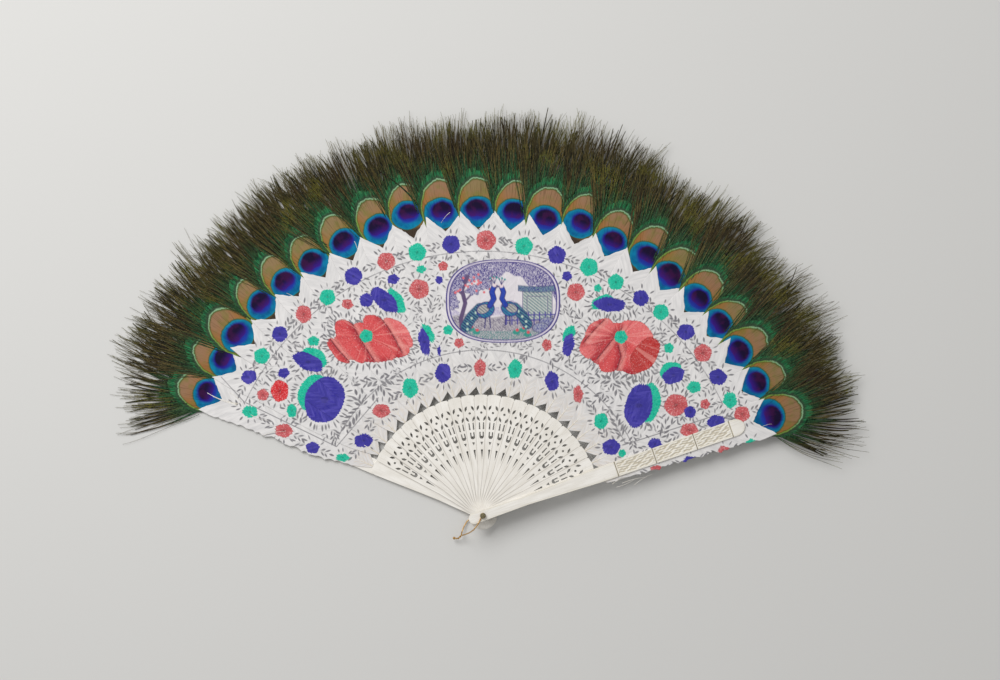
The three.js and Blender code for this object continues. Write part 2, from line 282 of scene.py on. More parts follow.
def closed_sheet(top, under):
    """Points and faces of a thin body: a fine grid on top, a grid below with only some of its columns, and
    walls that join their four edges."""
    rows, columns = top.shape[:2]
    coarse = under.shape[1]
    t = np.arange(rows * columns).reshape(rows, columns)
    u = rows * columns + np.arange(rows * coarse).reshape(rows, coarse)
    top_faces = np.stack([t[:-1, :-1], t[1:, :-1], t[1:, 1:], t[:-1, 1:]], -1).reshape(-1, 4)
    under_faces = np.stack([u[:-1, :-1], u[:-1, 1:], u[1:, 1:], u[1:, :-1]], -1).reshape(-1, 4)
    right = np.stack([t[1:, 0], t[:-1, 0], u[:-1, 0], u[1:, 0]], -1)
    left = np.stack([t[:-1, -1], t[1:, -1], u[1:, -1], u[:-1, -1]], -1)
    starts = np.arange(coarse - 1)[:, None] * UNDER_STEP + np.arange(UNDER_STEP + 1)
    near = np.hstack([t[0][starts], u[0, 1:, None], u[0, :-1, None]])
    far = np.hstack([t[-1][starts][:, ::-1], u[-1, :-1, None], u[-1, 1:, None]])
    points = np.concatenate([top.reshape(-1, 3), under.reshape(-1, 3)])
    return points, [top_faces, under_faces, right, left, near, far]


def ring_walls(index):
    """Four-cornered faces between rings of point numbers, whose last axis runs round a ring."""
    ahead = np.roll(index, -1, axis=-1)
    corners = index[..., :-1, :], ahead[..., :-1, :], ahead[..., 1:, :], index[..., 1:, :]
    return np.stack(corners, -1).reshape(-1, 4)


def strands(paths, halves, sides, flatness=1.0, twist=0.0):
    """Points and faces of closed tubes round many paths at once, paths being (strands, steps, 3).

    Each step has a ring of points: half width times the cosine sideways, and times the sine and the
    flatness upwards, turned by the twist.
    """
    count, steps = paths.shape[:2]
    ahead = np.gradient(paths, axis=1)
    ahead /= np.linalg.norm(ahead, axis=-1, keepdims=True)
    side = np.cross([0.0, 0.0, 1.0], ahead)
    side /= np.linalg.norm(side, axis=-1, keepdims=True)
    rise = np.cross(ahead, side)
    turn = 2 * np.pi * np.arange(sides) / sides + np.broadcast_to(twist, (count, steps))[..., None]
    rings = paths[:, :, None] + halves[..., None, None] * (
        np.cos(turn)[..., None] * side[:, :, None] + flatness * np.sin(turn)[..., None] * rise[:, :, None]
    )
    index = np.arange(count * steps * sides).reshape(count, steps, sides)
    return rings.reshape(-1, 3), [ring_walls(index), index[:, 0, ::-1], index[:, -1]]


def gathered(*bodies):
    """Several bodies' points and faces as one."""
    points, faces, start = [], [], 0
    for body_points, body_faces in bodies:
        points.append(body_points)
        faces += [face + start for face in body_faces]
        start += len(body_points)
    return np.concatenate(points), faces


def prism(outline, low, high, blade):
    """Points and faces of an outline in a blade's x and y, given anticlockwise, raised from low to high."""
    x, y = np.array(outline).T
    count = len(x)
    points = np.concatenate([on_blade(blade, x, y, level, False) for level in (low, high)])
    ring = np.arange(count)
    return points, [ring[None, ::-1], ring[None] + count, ring_walls(np.stack([ring, ring + count]))]


def revolved(profile, sides=48):
    """Points and faces of a profile of radius and height, from the bottom up, turned about the pivot."""
    radius, height = np.array(profile).T[:, :, None]
    turn = 2 * np.pi * np.arange(sides) / sides
    parts = np.broadcast_arrays(radius * np.cos(turn), radius * np.sin(turn), height)
    index = np.arange(radius.size * sides).reshape(-1, sides)
    return np.stack(parts, -1).reshape(-1, 3), [ring_walls(index), index[:1, ::-1], index[-1:]]


def smooth_path(knots, steps):
    """Points on a smooth curve through knots: each stretch is a cubic with slopes from the neighbours."""
    knots = np.array(knots, float)
    padded = np.concatenate([[2 * knots[0] - knots[1]], knots, [2 * knots[-1] - knots[-2]]])
    t = np.linspace(0, 1, steps, endpoint=False)[:, None]
    pieces = []
    for a, b, c, d in zip(padded, padded[1:], padded[2:], padded[3:]):
        bend = (c - a) * t + (2 * a - 5 * b + 4 * c - d) * t**2 + (3 * b - a - 3 * c + d) * t**3
        pieces.append(b + bend / 2)
    return np.concatenate([*pieces, knots[-1:]])


# Materials


class Wire:
    """The value of a node's socket. Sums and products written on it add Math nodes."""

    def __init__(self, look, socket):
        self.look = look
        self.socket = socket

    def math(self, operation, *others):
        return self.look.wire("ShaderNodeMath", {"operation": operation}, dict(enumerate((self, *others))))

    def __add__(self, other):
        return self.math("ADD", other)

    __radd__ = __add__

    def __sub__(self, other):
        return self.math("SUBTRACT", other)

    def __rsub__(self, other):
        return self.look.wire("ShaderNodeMath", {"operation": "SUBTRACT"}, {0: other, 1: self})

    def __mul__(self, other):
        return self.math("MULTIPLY", other)

    __rmul__ = __mul__

    def __truediv__(self, other):
        return self.math("DIVIDE", other)

    def size(self):
        return self.math("ABSOLUTE")

    def rise(self, low, high):
        """0 at low, 1 at high and beyond, with an S-shaped rise. Low may be the higher one."""
        inputs = {"Value": self, "From Min": low, "From Max": high}
        return self.look.wire("ShaderNodeMapRange", {"interpolation_type": "SMOOTHSTEP"}, inputs)


class Look:
    """A material and what makes and links its nodes. Three numbers in brackets are a colour on a screen."""

    def __init__(self, name):
        self.material = bpy.data.materials.new(name)
        self.material.use_nodes = True
        self.tree = self.material.node_tree
        self.tree.nodes.clear()

    def node(self, kind, settings=None, inputs=None):
        made = self.tree.nodes.new(kind)
        for key, value in (settings or {}).items():
            setattr(made, key, value)
        for key, value in (inputs or {}).items():
            if isinstance(value, Wire):
                self.tree.links.new(value.socket, made.inputs[key])
            else:
                made.inputs[key].default_value = (*rgb(*value), 1.0) if isinstance(value, tuple) else value
        return made

    def wire(self, kind, settings=None, inputs=None, output=0):
        return Wire(self, self.node(kind, settings, inputs).outputs[output])

    def split(self, vector):
        made = self.node("ShaderNodeSeparateXYZ", None, {0: vector})
        return [Wire(self, socket) for socket in made.outputs]

    def vector(self, name):
        return self.wire("ShaderNodeAttribute", {"attribute_name": name}, None, 1)

    def number(self, name):
        return self.wire("ShaderNodeAttribute", {"attribute_name": name}, None, 2)

    def scaled(self, vector, share):
        return self.wire("ShaderNodeVectorMath", {"operation": "SCALE"}, {0: vector, "Scale": share})

    def place(self):
        """Object coordinates in mm."""
        return self.scaled(self.wire("ShaderNodeTexCoord", None, None, 3), 1 / MM)

    def noise(self, vector, scale=1.0, detail=2.0, rough=0.5):
        inputs = {"Vector": vector, "Scale": scale, "Detail": detail, "Roughness": rough}
        return self.wire("ShaderNodeTexNoise", None, inputs)

    def streaks(self, x, y, z, detail=2.0, rough=0.5):
        """Noise at a place put together from three values."""
        place = self.wire("ShaderNodeCombineXYZ", None, {0: x, 1: y, 2: z})
        return self.noise(place, 1.0, detail, rough)

    def mix(self, share, first, second):
        return self.wire("ShaderNodeMix", {"data_type": "RGBA"}, {0: share, 6: first, 7: second}, 2)

    def coats(self, colour, *coats):
        """A colour beneath coats, each given as its share and its colour."""
        for share, coat in coats:
            colour = self.mix(share, colour, coat)
        return colour

    def surface(self, inputs, height=None, depth=0.1, strength=1.0):
        """Ends the material: the shader with its inputs, and a bump of the given depth in mm."""
        if height is not None:
            bump = {"Height": height, "Distance": depth * MM, "Strength": strength}
            inputs = {**inputs, "Normal": self.wire("ShaderNodeBump", None, bump)}
        shader = self.wire("ShaderNodeBsdfPrincipled", None, inputs)
        self.node("ShaderNodeOutputMaterial", None, {"Surface": shader})
        return self.material


def white_feather_look():
    """White vane: fine barbs slanting out from the quill, painted grey shade in their partings, and paint on
    them.
    """
    look = Look("white_feather")
    x, y, seed = look.split(look.vector("lay"))
    across = y.size()
    barb = x - 1.3 * across + 0.015 * across * across
    hairs = look.streaks(barb * 2.4, across * 0.12, seed)
    bands = look.streaks(barb * 0.3, across * 0.1, seed + 9, 3)
    base = look.streaks(barb * 1.1, across * 0.3, seed + 4)
    # ink also holds the dark lines along the splits, which are painted shadow
    ink = look.number("ink") + (hairs - 0.5) * 0.3
    white = look.coats(
        (214, 212, 211),
        (bands.rise(0.25, 0.75), (234, 231, 229)),
        # Painted shade: grey in the partings between the barbs
        (hairs.rise(0.42, 0.25) * 0.35, (168, 166, 170)),
        ((x - 112).rise(40, 0) * base.rise(0.4, 0.7) * 0.6, (220, 205, 186)),
        (look.number("under"), (208, 204, 198)),
        (ink.rise(-0.2, 0.6) * (0.6 + 0.66 * bands), (124, 122, 126)),
    )

    bloom_x, bloom_y, kind = look.split(look.vector("bloom"))
    reach = (bloom_x * bloom_x + bloom_y * bloom_y + 0.0004).math("SQRT")
    whorl = look.number("whorl")
    rays = look.streaks(bloom_x / reach * 6, bloom_y / reach * 6, kind, 3, 0.6)
    rays = 0.5 + (rays - 0.5) * whorl
    paint = look.vector("paint")
    red, green, blue = look.split(paint)
    reddish = (red - blue).rise(0.1, 0.3)
    greenish = (green - blue).rise(0.05, 0.15)
    bluish = (blue - red).rise(0.15, 0.3) * (blue - green).rise(0.15, 0.3) * whorl
    seam = look.number("seam").rise(0.0, 0.9)
    flecks = look.noise(look.vector("lay"), scale=0.9, detail=3)
    single = whorl.rise(0.8, 0.9)
    petal = whorl.rise(0.5, 0.55) * whorl.rise(0.7, 0.65)
    tone = (0.7 + 0.34 * rays + 0.25 * bands) * (1 - (1 - seam) * (0.1 + 0.3 * reddish))
    tone = tone * (1 - flecks.rise(0.5, 0.3) * (0.12 + 0.2 * reddish + 0.25 * greenish) * whorl)
    tone = tone * (1 - single * reach.rise(0.75, 0.1) * rays.rise(0.45, 0.58) * (0.15 + 0.25 * reddish))
    tone = tone * (1 - single * reach.rise(0.2, 0.12) * 0.3)
    strokes = rays.rise(0.5, 0.66) * reach.rise(0.2, 0.9)
    pale = (0.9 * flecks.rise(0.56, 0.68) + 0.4 * strokes) * (0.02 + 0.43 * reddish + 0.07 * greenish)
    paint = look.coats(
        look.scaled(paint, tone),
        # Lighter blue along the barbs on blue paint: the paint's own streaks, with a painted sheen on them
        (bluish * bands.rise(0.45, 0.75) * 0.45, (98, 88, 196)),
        (bluish * hairs.rise(0.62, 0.7) * bands * 0.5, (140, 132, 206)),
        (pale * whorl, (246, 230, 228)),
        (petal * rays.rise(0.52, 0.6) * 0.4, (240, 158, 148)),
        (petal * rays.rise(0.46, 0.4) * 0.35, (176, 40, 52)),
    )
    nibbles = (hairs - 0.5) * 0.9 + (rays - 0.5) * 1.4 + (flecks - 0.5) * 2.6 * whorl
    cover = (look.number("cover") + nibbles).rise(-0.1, 0.3)
    colour = look.mix(cover * (0.92 + 0.1 * hairs), white, paint)
    finish = {"Base Color": colour, "Roughness": 0.7, "Specular IOR Level": 0.05}
    return look.surface(finish, hairs + 0.5 * bands + 0.25 * flecks, 0.09, 0.8)


def quill_look():
    """White horn, creamier at its root, with long fine streaks."""
    look = Look("quill")
    x, y, _ = look.split(look.place())
    reach = (x * x + y * y).math("SQRT")
    grain = look.noise(look.place(), scale=0.6, detail=3)
    colour = look.coats(
        (226, 219, 206),
        (grain.rise(0.35, 0.65), (244, 240, 232)),
        ((reach - 104).rise(26, 0) * 0.5, (206, 190, 160)),
    )
    return look.surface({"Base Color": colour, "Roughness": 0.45, "Specular IOR Level": 0.3}, grain, 0.03)


def egg(x, y, centre, up, down, half):
    """Share of the way from an egg's centre to its edge, where up and down are its reach each way along x."""
    along = x - centre
    ahead = along.math("MAXIMUM", 0.0) / up
    behind = along.math("MINIMUM", 0.0) / down
    side = y / half
    return (ahead * ahead + behind * behind + side * side).math("SQRT")


def peacock_eye_look():
    """Eye of nested eggs: dark heart, violet and azure, bronze, olive, a pale rim and a green glow."""
    look = Look("peacock_eye")
    x, y, seed = look.split(look.vector("lay"))
    hairs = look.streaks(y.math("ARCTAN2", x - 250.0) * 80, (x - 250.0) * 0.05, seed)
    wander = look.streaks(x * 0.12, y * 0.12, seed)
    kind = look.streaks(seed * 3.0, 0.5, 0.5, 0)
    edge = (hairs - 0.5) * 0.1 + (wander - 0.5) * 0.16
    under = look.number("under")

    def inside(centre, up, down, half, soft=0.03):
        return (egg(x, y, centre, up, down, half) + edge).rise(1 + soft, 1 - soft)

    warm = kind.rise(0.4, 0.6)
    bronze = look.coats(
        look.mix(warm, (150, 114, 56), (162, 108, 62)),
        ((x - 283.0 + (hairs - 0.5) * 6).rise(-8, 14), look.mix(warm, (138, 118, 82), (148, 114, 86))),
        (y.size().rise(8, 15) * 0.7, (150, 104, 50)),
        (hairs.rise(0.5, 0.3) * 0.45, (86, 66, 34)),
        (wander.rise(0.45, 0.7) * 0.45, (108, 116, 46)),
    )
    azure = look.mix(wander.rise(0.3, 0.7), (4, 88, 136), (10, 122, 164))
    teal = look.mix(0.5, azure, (20, 140, 160))
    azure = look.mix(inside(AZURE_CENTRE, 12.6, 12.0, 13.2, 0.1), teal, azure)
    azure = look.mix(hairs.rise(0.45, 0.25) * 0.35, azure, (0, 50, 110))
    shifted = y + (kind - 0.5) * 8
    royal = look.mix((x - 270.0 + wander * 5).rise(-4, 6), (30, 66, 164), (38, 24, 132))
    ring = (egg(x, shifted, 274.8, 9.2, 9.6, 10.6) + edge).rise(1.2, 0.82)
    dent = (shifted * shifted * -0.07).math("EXPONENT") * (x - 272.0).rise(1.0, -5.0)
    size = 0.98 + 0.6 * (kind - 0.5)
    heart = (egg(x, shifted, 275.6, 7.9, 7.9, 9.0) * size + edge + dent * 0.34).rise(1.14, 0.88)
    inner = look.coats(
        (18, 12, 42),
        ((x - 270.5).rise(7, -3), (62, 28, 140)),
        (wander.rise(0.45, 0.65) * 0.45, (80, 20, 76)),
        (hairs * 0.4, (44, 20, 66)),
    )
    green = look.mix(hairs.rise(0.3, 0.7), (8, 60, 40), (46, 136, 86))
    rim = look.mix((x - 286.0).rise(0, 16), (126, 156, 68), (146, 186, 146))
    colour = look.coats(
        look.mix(hairs.rise(0.35, 0.65), (26, 34, 16), (84, 92, 48)),
        (inside(EYE_CENTRE, 36, 34, 25, 0.2) * 0.9, green),
        (inside(EYE_CENTRE, 27.4, 33, 20.2, 0.07) * 0.8, (54, 62, 48)),
        (inside(EYE_CENTRE, 24.5, RIM_DOWN, RIM_HALF), rim),
        (inside(EYE_CENTRE, 23.5, 29, 16.6), (66, 84, 30)),
        (inside(EYE_CENTRE, 22.2, 27, 16.1, 0.05), bronze),
        ((x - 264.0 + wander * 4).rise(2, -4), (66, 54, 44)),
        (inside(AZURE_CENTRE, 14.9, 13.6, 15.8, 0.05), (36, 92, 56)),
        (inside(AZURE_CENTRE, 14.0, 13.2, 15.0), azure),
        (ring, royal),
        (heart, inner),
        (hairs.rise(0.42, 0.22) * 0.4, (10, 10, 14)),
        (under, look.mix(hairs, (52, 40, 28), (100, 84, 58))),
    )
    shine = under.rise(1.0, 0.0) * 0.3
    finish = {"Base Color": colour, "Roughness": 0.55, "Metallic": shine, "Specular IOR Level": 0.1}
    return look.surface(finish, hairs, 0.14, 0.8)


def barb_look():
    """Loose barbs: pale olive shafts with darker glinting hairs, over dark ribbons, and emerald roots.

    The ribbons beneath are near black: partly the barbs' own dark colour, partly painted shade under the
    upper barbs. Broad patches are browner or more golden. The kind is 0 on a shaft, a half on a hair and 1 on
    a ribbon.
    """
    look = Look("peacock_barb")
    t, chance, other = look.split(look.vector("strand"))
    kind = look.number("kind")
    glints = look.streaks(t * 40, chance * 90, other * 40)
    long = look.streaks(t * 4, chance * 37, other * 21)
    patches = look.noise(look.place(), scale=0.035)
    shaft = look.mix(long.rise(0.35, 0.65), (56, 49, 28), (130, 113, 68))
    shaft = look.mix(glints.rise(0.48, 0.36) * 0.7, shaft, (27, 25, 14))
    hair = look.mix(glints.rise(0.36, 0.62), (20, 19, 9), (75, 69, 35))
    hair = look.mix(glints.rise(0.57, 0.66), hair, (150, 152, 84))
    golden = patches.rise(0.52, 0.66) * glints.rise(0.42, 0.6) * (1 - 0.6 * kind)
    near = (t + (other - 0.5) * 0.4).rise(0.5, 0.0)
    colour = look.coats(
        shaft,
        (kind.rise(0.2, 0.4), hair),
        (t.rise(0.4, 0.9) * long * 0.7, (78, 70, 38)),
        # Ribbons near black: the barbs' own dark colour and painted shade under the upper barbs
        (kind.rise(0.6, 0.9) * 0.9, look.mix(glints.rise(0.35, 0.65), (17, 16, 9), (47, 43, 25))),
        (t.rise(0.7, 1.0) * (0.25 + 0.5 * glints), (124, 122, 72)),
        (golden * 0.6, (138, 136, 46)),
        (patches.rise(0.48, 0.36) * 0.35, (62, 44, 30)),
        (near * 0.85, look.mix(glints.rise(0.3, 0.7), (8, 44, 28), (44, 108, 68))),
    )
    finish = {"Base Color": colour, "Roughness": 0.5, "Metallic": 0.2, "Specular IOR Level": 0.2}
    return look.surface(finish)


def bone_look(name="bone", blade=None, carved=False):
    """Pale bone: long fine grain that runs out from the pivot, faint warm patches and tiny dark pores.

    A stick has a dark line along both edges, dirt and painted shade where the sticks overlap, and a carved
    guard is browner and darker where it is cut deep, dirt and painted shade in the cuts.
    """
    look = Look(name)
    x, y, z = look.split(look.place())
    reach = (x * x + y * y).math("SQRT")
    turn = y.math("ARCTAN2", x)
    grain = look.streaks(turn * 180, reach * 0.035, z * 0.4, 3)
    patches = look.streaks(turn * 14, reach * 0.05, z * 0.5)
    pores = look.streaks(turn * 420, reach * 0.4, z, 1).rise(0.3, 0.22)
    colour = look.coats(
        (234, 229, 220),
        (patches.rise(0.3, 0.7), (246, 242, 235)),
        (grain.rise(0.5, 0.28) * 0.35, (206, 198, 184)),
        (pores * 0.4, (140, 130, 112)),
    )
    height = grain
    if blade is not None:
        along, aside = turned(x, y, -blade_angle(blade))
        slope = (SHOULDER_HALF - THROAT_HALF) / (STICK_END - THROAT_AT)
        half = THROAT_HALF + (along - THROAT_AT).math("MAXIMUM", 0.0) * slope
        # Dirt and painted shade: a dark line along both edges of the stick, where the sticks overlap
        rim = (half - aside.size() + (grain - 0.5) * 0.3).rise(0.75, 0.1) * (along - 8).rise(0, 12)
        colour = look.mix(rim * 0.42, colour, (120, 110, 98))
    if carved:
        deep = look.number("deep")
        scratches = look.streaks(turn * 140, reach * 0.16, z, 3)
        # Browner and darker the deeper the cut: dirt and painted shade in the hollows of the carving
        colour = look.coats(
            colour,
            (deep.rise(0.02, 0.25) * 0.5, (226, 218, 194)),
            (deep.rise(0.35, 0.95) * (0.05 + 0.75 * scratches), (154, 138, 106)),
            (deep.rise(1.0, 1.4) * (0.6 + 0.4 * scratches), (112, 106, 92)),
        )
        height = grain + deep.rise(0, 1) * scratches
    return look.surface({"Base Color": colour, "Roughness": 0.36 + 0.2 * grain}, height, 0.05, 0.6)


def metal_look(name, scale, dull, bright, rough, metallic, depth):
    """Old metal whose colour and roughness vary in patches from dull to bright."""
    look = Look(name)
    wear = look.noise(look.place(), scale=scale, detail=3)
    colour = look.mix(wear.rise(0.35, 0.65), dull, bright)
    finish = {"Base Color": colour, "Roughness": rough[0] + rough[1] * wear, "Metallic": metallic}
    return look.surface(finish, wear, depth)


# The painting on the white feathers

CORAL = rgb(220, 80, 82)
CRIMSON = rgb(176, 30, 46)
ROSE = rgb(232, 112, 112)
SCARLET = rgb(222, 36, 44)
DEEP_RED = rgb(192, 52, 50)
DUSTY_RED = rgb(206, 88, 92)
INDIGO = rgb(52, 46, 154)
EMERALD = rgb(0, 192, 158)

# Flowers: px of the middle, half width and half height
RED_FLOWERS = (
    (486, 240, 10, 10), (386, 261, 9, 9), (303, 314, 8, 9), (703, 353, 9, 9), (742, 414, 8, 8),
    (419, 289, 10, 10), (443, 266, 5, 5), (347, 304, 6, 5), (459, 343, 5, 5),
    (262, 395, 6, 6), (283, 431, 9, 7), (381, 411, 9, 7), (480, 368, 6, 9), (578, 394, 5, 9),
    (689, 430, 9, 7), (676, 405, 12, 11), (705, 404, 5, 5), (576, 292, 9, 9), (547, 345, 5, 6),
    (657, 470, 7, 5), (725, 451, 7, 5),
)
BLUE_FLOWERS = (
    (451, 244, 9, 9), (353, 276, 9, 9), (279, 334, 8, 8), (248, 377, 8, 7), (557, 255, 9, 9),
    (641, 298, 8, 8), (686, 332, 9, 8), (718, 377, 9, 8), (393, 279, 6, 5), (439, 280, 4, 4),
    (366, 300, 7, 7), (439, 351, 2, 5), (283, 373, 6, 5), (312, 448, 7, 6), (363, 441, 9.5, 7),
    (443, 373, 8, 10), (552, 381, 7, 10), (611, 447, 9, 8), (655, 444, 7, 6), (716, 422, 9, 7),
    (690, 412, 6, 6), (567, 276, 5, 5), (690, 461, 8, 5),
)
GREEN_FLOWERS = (
    (417, 252, 9, 9), (421, 269, 5, 4), (327, 297, 8, 8), (261, 356, 8, 8),
    (524, 246, 9, 9), (589, 267, 9, 9), (616, 282, 8, 8), (661, 312, 8, 8), (730, 400, 7, 8),
    (313, 341, 6, 5), (448, 330, 5, 5), (249, 412, 8, 6), (291, 411, 5, 7), (342, 458, 7, 4),
    (410, 388, 8, 10), (515, 369, 7, 10), (601, 421, 7, 8), (622, 453, 4, 4), (694, 387, 7, 6),
    (669, 348, 5, 5), (598, 288, 4, 4), (752, 443, 6, 4),
)
SCARLET_FLOWER = (279, 391, 9, 11)
# Two-coloured flowers: the green part, then the blue part that lies over it. Each is the px of its middle,
# its long and short halves and its lean in degrees.
PAIRED_FLOWERS = (
    ((313, 393, 19.5, 15, 62), (324, 400, 24, 19.5, 66)),
    ((648, 403, 20, 12.5, 80), (638.5, 405.5, 22.5, 13.5, 75)),
    ((396, 301, 14, 7, -58), (384, 300, 17, 8.5, -42)),
    ((428, 333, 10, 5, -60), (424, 342, 14, 5.5, -78)),
    ((313.5, 358, 14, 9.5, -30), (307.5, 362, 16.5, 8.4, -25)),
    ((671, 371.5, 11.5, 9.5, 20), (673.5, 375.5, 11.5, 8.2, 22)),
    ((602, 302, 12, 6.5, 25), (610, 304.5, 16, 7.4, -4)),
    ((569, 334, 9.5, 5.5, 60), (568.5, 345, 11.5, 5.8, 78)),
)
# The two peonies: the px of the green eye, then each petal's middle, long and short halves, lean, colour and
# the side on which it darkens
PEONIES = (
    ((366, 336), (
        (370, 344.5, 39, 18, 0, CORAL, -1), (361, 333, 12, 11, 0, CORAL, -1),
        (397, 334, 20, 11, -48, ROSE, -1), (397, 347, 13, 10, -25, CORAL, -1),
        (380, 337, 26, 13, -58, CORAL, 0), (377, 352, 15, 10, -10, CORAL, -1),
        (338, 351, 16, 6.5, -50, CORAL, 1), (351, 341, 25, 12, -57, CORAL, 1),
    )),
    ((621, 337), (
        (619, 347, 35, 24, -8, CORAL, -1), (591, 346, 13, 11, 60, ROSE, -1),
        (600, 332, 17, 12, 35, ROSE, -1), (636, 333, 18, 12, -25, ROSE, 0),
        (631, 364, 15, 10, -10, CORAL, -1), (645, 355, 20, 12, 56, DEEP_RED, 0),
        (612, 354, 20, 13, 66, CORAL, -1),
    )),
)
# The peonies' dark folds, px
FOLDS = (
    ((351, 322.5), (358, 336), (366, 349), (374, 361)), ((379, 316), (388, 328), (396, 341), (402, 353)),
    ((328, 337), (338, 350), (349, 362)), ((622, 328), (612, 340), (597, 359)),
    ((618, 345), (621, 356), (617, 369)), ((604, 320), (594, 330), (584, 342)),
)
# What each fold is painted with: the shift across in px, the half width in mm, the colour and the softness
FOLD_COATS = ((0, 2.6, CRIMSON, 5), (3.2, 1.4, rgb(240, 150, 142), 4.5), (0, 0.5, rgb(120, 24, 40), 0.7))
PEONY_HALF = 40
PEONY_EYE = 6.5
# The width of a flower's teeth and the depth of its lobes, and the depth given where nothing is painted
TOOTH = 2.6
LOBE = 0.3
BARE = -3.0
# Rings and side lines drawn round the middle field, px, and the degrees between which the rings run
RING_LINES = (264, 165)
RING_ENDS = (24.5, 155)
SIDE_BORDERS = (26.5, 154)
SIDE_LINES = (
    ((336, 447), (245, 403)), ((336, 447), (378, 398)),
    ((626, 444), (607, 411)), ((626, 444), (720, 414)),
)
# Two splits in the outermost feathers on the left, px, each drawn as a dark line of painted shadow
SPLIT_SHADOWS = (((220, 377), (243, 402)), ((262, 436), (287, 431)))
LINE_HALF = 0.6
# Larger sprigs, each from one px to the px that it points at, with its pairs of leaves and its size
FRONDS = (
    ((360, 408), (338, 434), 4, 1.5), ((361, 406), (351, 386), 2, 1.4), ((362, 406), (365, 384), 2, 1.4),
    ((378, 380), (350, 387), 3, 1.4), ((379, 380), (404, 378), 3, 1.4), ((378, 384), (367, 398), 2, 1.3),
    ((380, 384), (393, 400), 2, 1.3), ((376, 363), (378, 380), 1, 1.2),
    ((622, 437), (610, 404), 4, 1.4), ((604, 392), (590, 406), 2, 1.3), ((612, 380), (586, 378), 3, 1.4),
    ((614, 380), (640, 380), 3, 1.4), ((614, 384), (622, 398), 2, 1.3), ((614, 363), (613, 380), 1, 1.2),
    ((660, 438), (672, 420), 3, 1.3), ((300, 425), (285, 402), 3, 1.3), ((700, 372), (694, 350), 2, 1.2),
    ((292, 340), (304, 322), 2, 1.2),
)
# Room kept round leaves, sprigs and flowers, and the half height from which a border's flower has sprigs
LEAF_ROOM = 1.9
SPRIG_ROOM = 3.3
FLOWER_ROOM = 0.9
BORDER_FLOWER = 4.4
BURST_STEP = 3.4
STEM_HALF = 0.25
# The sprigs of the field: from, to and between their rings, px, and the angles that they fill
FIELD_RINGS = (170, 262, 5)
FIELD_STEP = 6
FIELD_ROOM = 2.4
FIELD_FROM_DEG = REAR_DEG - 3
FIELD_DEG = SPREAD_DEG - 8
MEDALLION_PX = (503, 301)
OUTLINE = rgb(50, 44, 112)
FENCE = rgb(76, 70, 150)
MEDALLION_HALF = (51.8, 37.8)
MEDALLION_REACH = 60


def oval(x, y, middle, halves, turn=0.0):
    """Depth in mm inside an oval: its edge's share left to go, times its smaller half."""
    along, aside = turned(x - middle[0], y - middle[1], -turn)
    return (1 - np.hypot(along / halves[0], aside / halves[1])) * min(halves)


def stroke(x, y, points, half):
    """Depth in mm inside a line through the points: its half width less the distance to the nearest piece."""
    best = np.full(x.shape, -np.inf)
    for (ax, ay), (bx, by) in zip(points, points[1:]):
        length = (bx - ax) ** 2 + (by - ay) ** 2
        t = np.clip(((x - ax) * (bx - ax) + (y - ay) * (by - ay)) / length, 0, 1)
        best = np.maximum(best, half - np.hypot(x - ax - t * (bx - ax), y - ay - t * (by - ay)))
    return best


def lay_on(canvas, depth, colour, soft=0.5):
    """Colour over a canvas wherever the depth is above zero, with an edge of the given softness in mm."""
    share = np.clip(depth / soft + 0.5, 0, 1)[..., None]
    return canvas * (1 - share) + np.array(colour) * share


class Canvas:
    """Colours at places in mm, painted one area over another."""

    def __init__(self, x, y, ground):
        self.x = x
        self.y = y
        self.colours = np.broadcast_to(np.array(ground), (*x.shape, 3)).copy()

    def line(self, points, half):
        return stroke(self.x, self.y, points, half)

    def oval(self, middle, halves, turn=0.0):
        return oval(self.x, self.y, middle, halves, turn)

    def lay(self, depth, colour):
        self.colours = lay_on(self.colours, depth, colour)

    def hatch(self, depth, pattern, ground, lines):
        """An area in one colour with lines of another where the pattern is above zero, and a dark outline."""
        self.lay(depth + 0.55, OUTLINE)
        self.lay(depth, ground)
        self.lay(np.minimum(depth - 0.3, pattern), lines)


def peafowl(art, at, facing, scale, hatch):
    """A standing peafowl: blue neck with a crest, grey green wing, and a long hatched train to the ground."""
    def px(*points):
        return [(at[0] + facing * a * scale, at[1] + b * scale) for a, b in points]

    for leg in (((1, -5), (0.5, -13)), ((4, -5), (4.5, -13))):
        art.lay(art.line(px(*leg), 0.5), OUTLINE)
    train = art.line(px((-3, 1), (-9, -5), (-13, -12)), 3.6 * scale)
    art.hatch(train, hatch, rgb(70, 128, 140), rgb(36, 44, 110))
    for spot in px((-6, -2), (-9, -6), (-12, -10), (-12, -14)):
        art.lay(art.oval(spot, (1.1, 1.1)), rgb(190, 214, 196))
    body = art.oval(*px((1, 0)), (6.4 * scale, 5.4 * scale), facing * 0.5)
    art.hatch(body, hatch, rgb(44, 74, 150), rgb(40, 134, 150))
    wing = art.oval(*px((-0.6, 0.6)), (4.4 * scale, 3.0 * scale), facing * 0.4)
    art.hatch(wing, -hatch, rgb(188, 184, 178), rgb(116, 126, 134))
    neck = px((4, 3), (7, 8), (5.6, 13), (7.2, 17))
    art.lay(art.line(neck, 2.1 * scale), OUTLINE)
    art.lay(art.line(neck, 1.5 * scale), rgb(36, 66, 168))
    art.lay(art.oval(*px((7.6, 18)), (2.2, 1.8)), rgb(232, 214, 216))
    art.lay(art.line(px((9, 17.6), (12, 16.6)), 0.5), OUTLINE)
    for end in ((4.6, 23), (6.8, 24), (9, 23.4)):
        art.lay(art.line(px((7.4, 19), end), 0.35), OUTLINE)
        art.lay(art.oval(*px(end), (0.9, 0.9)), rgb(30, 140, 140))


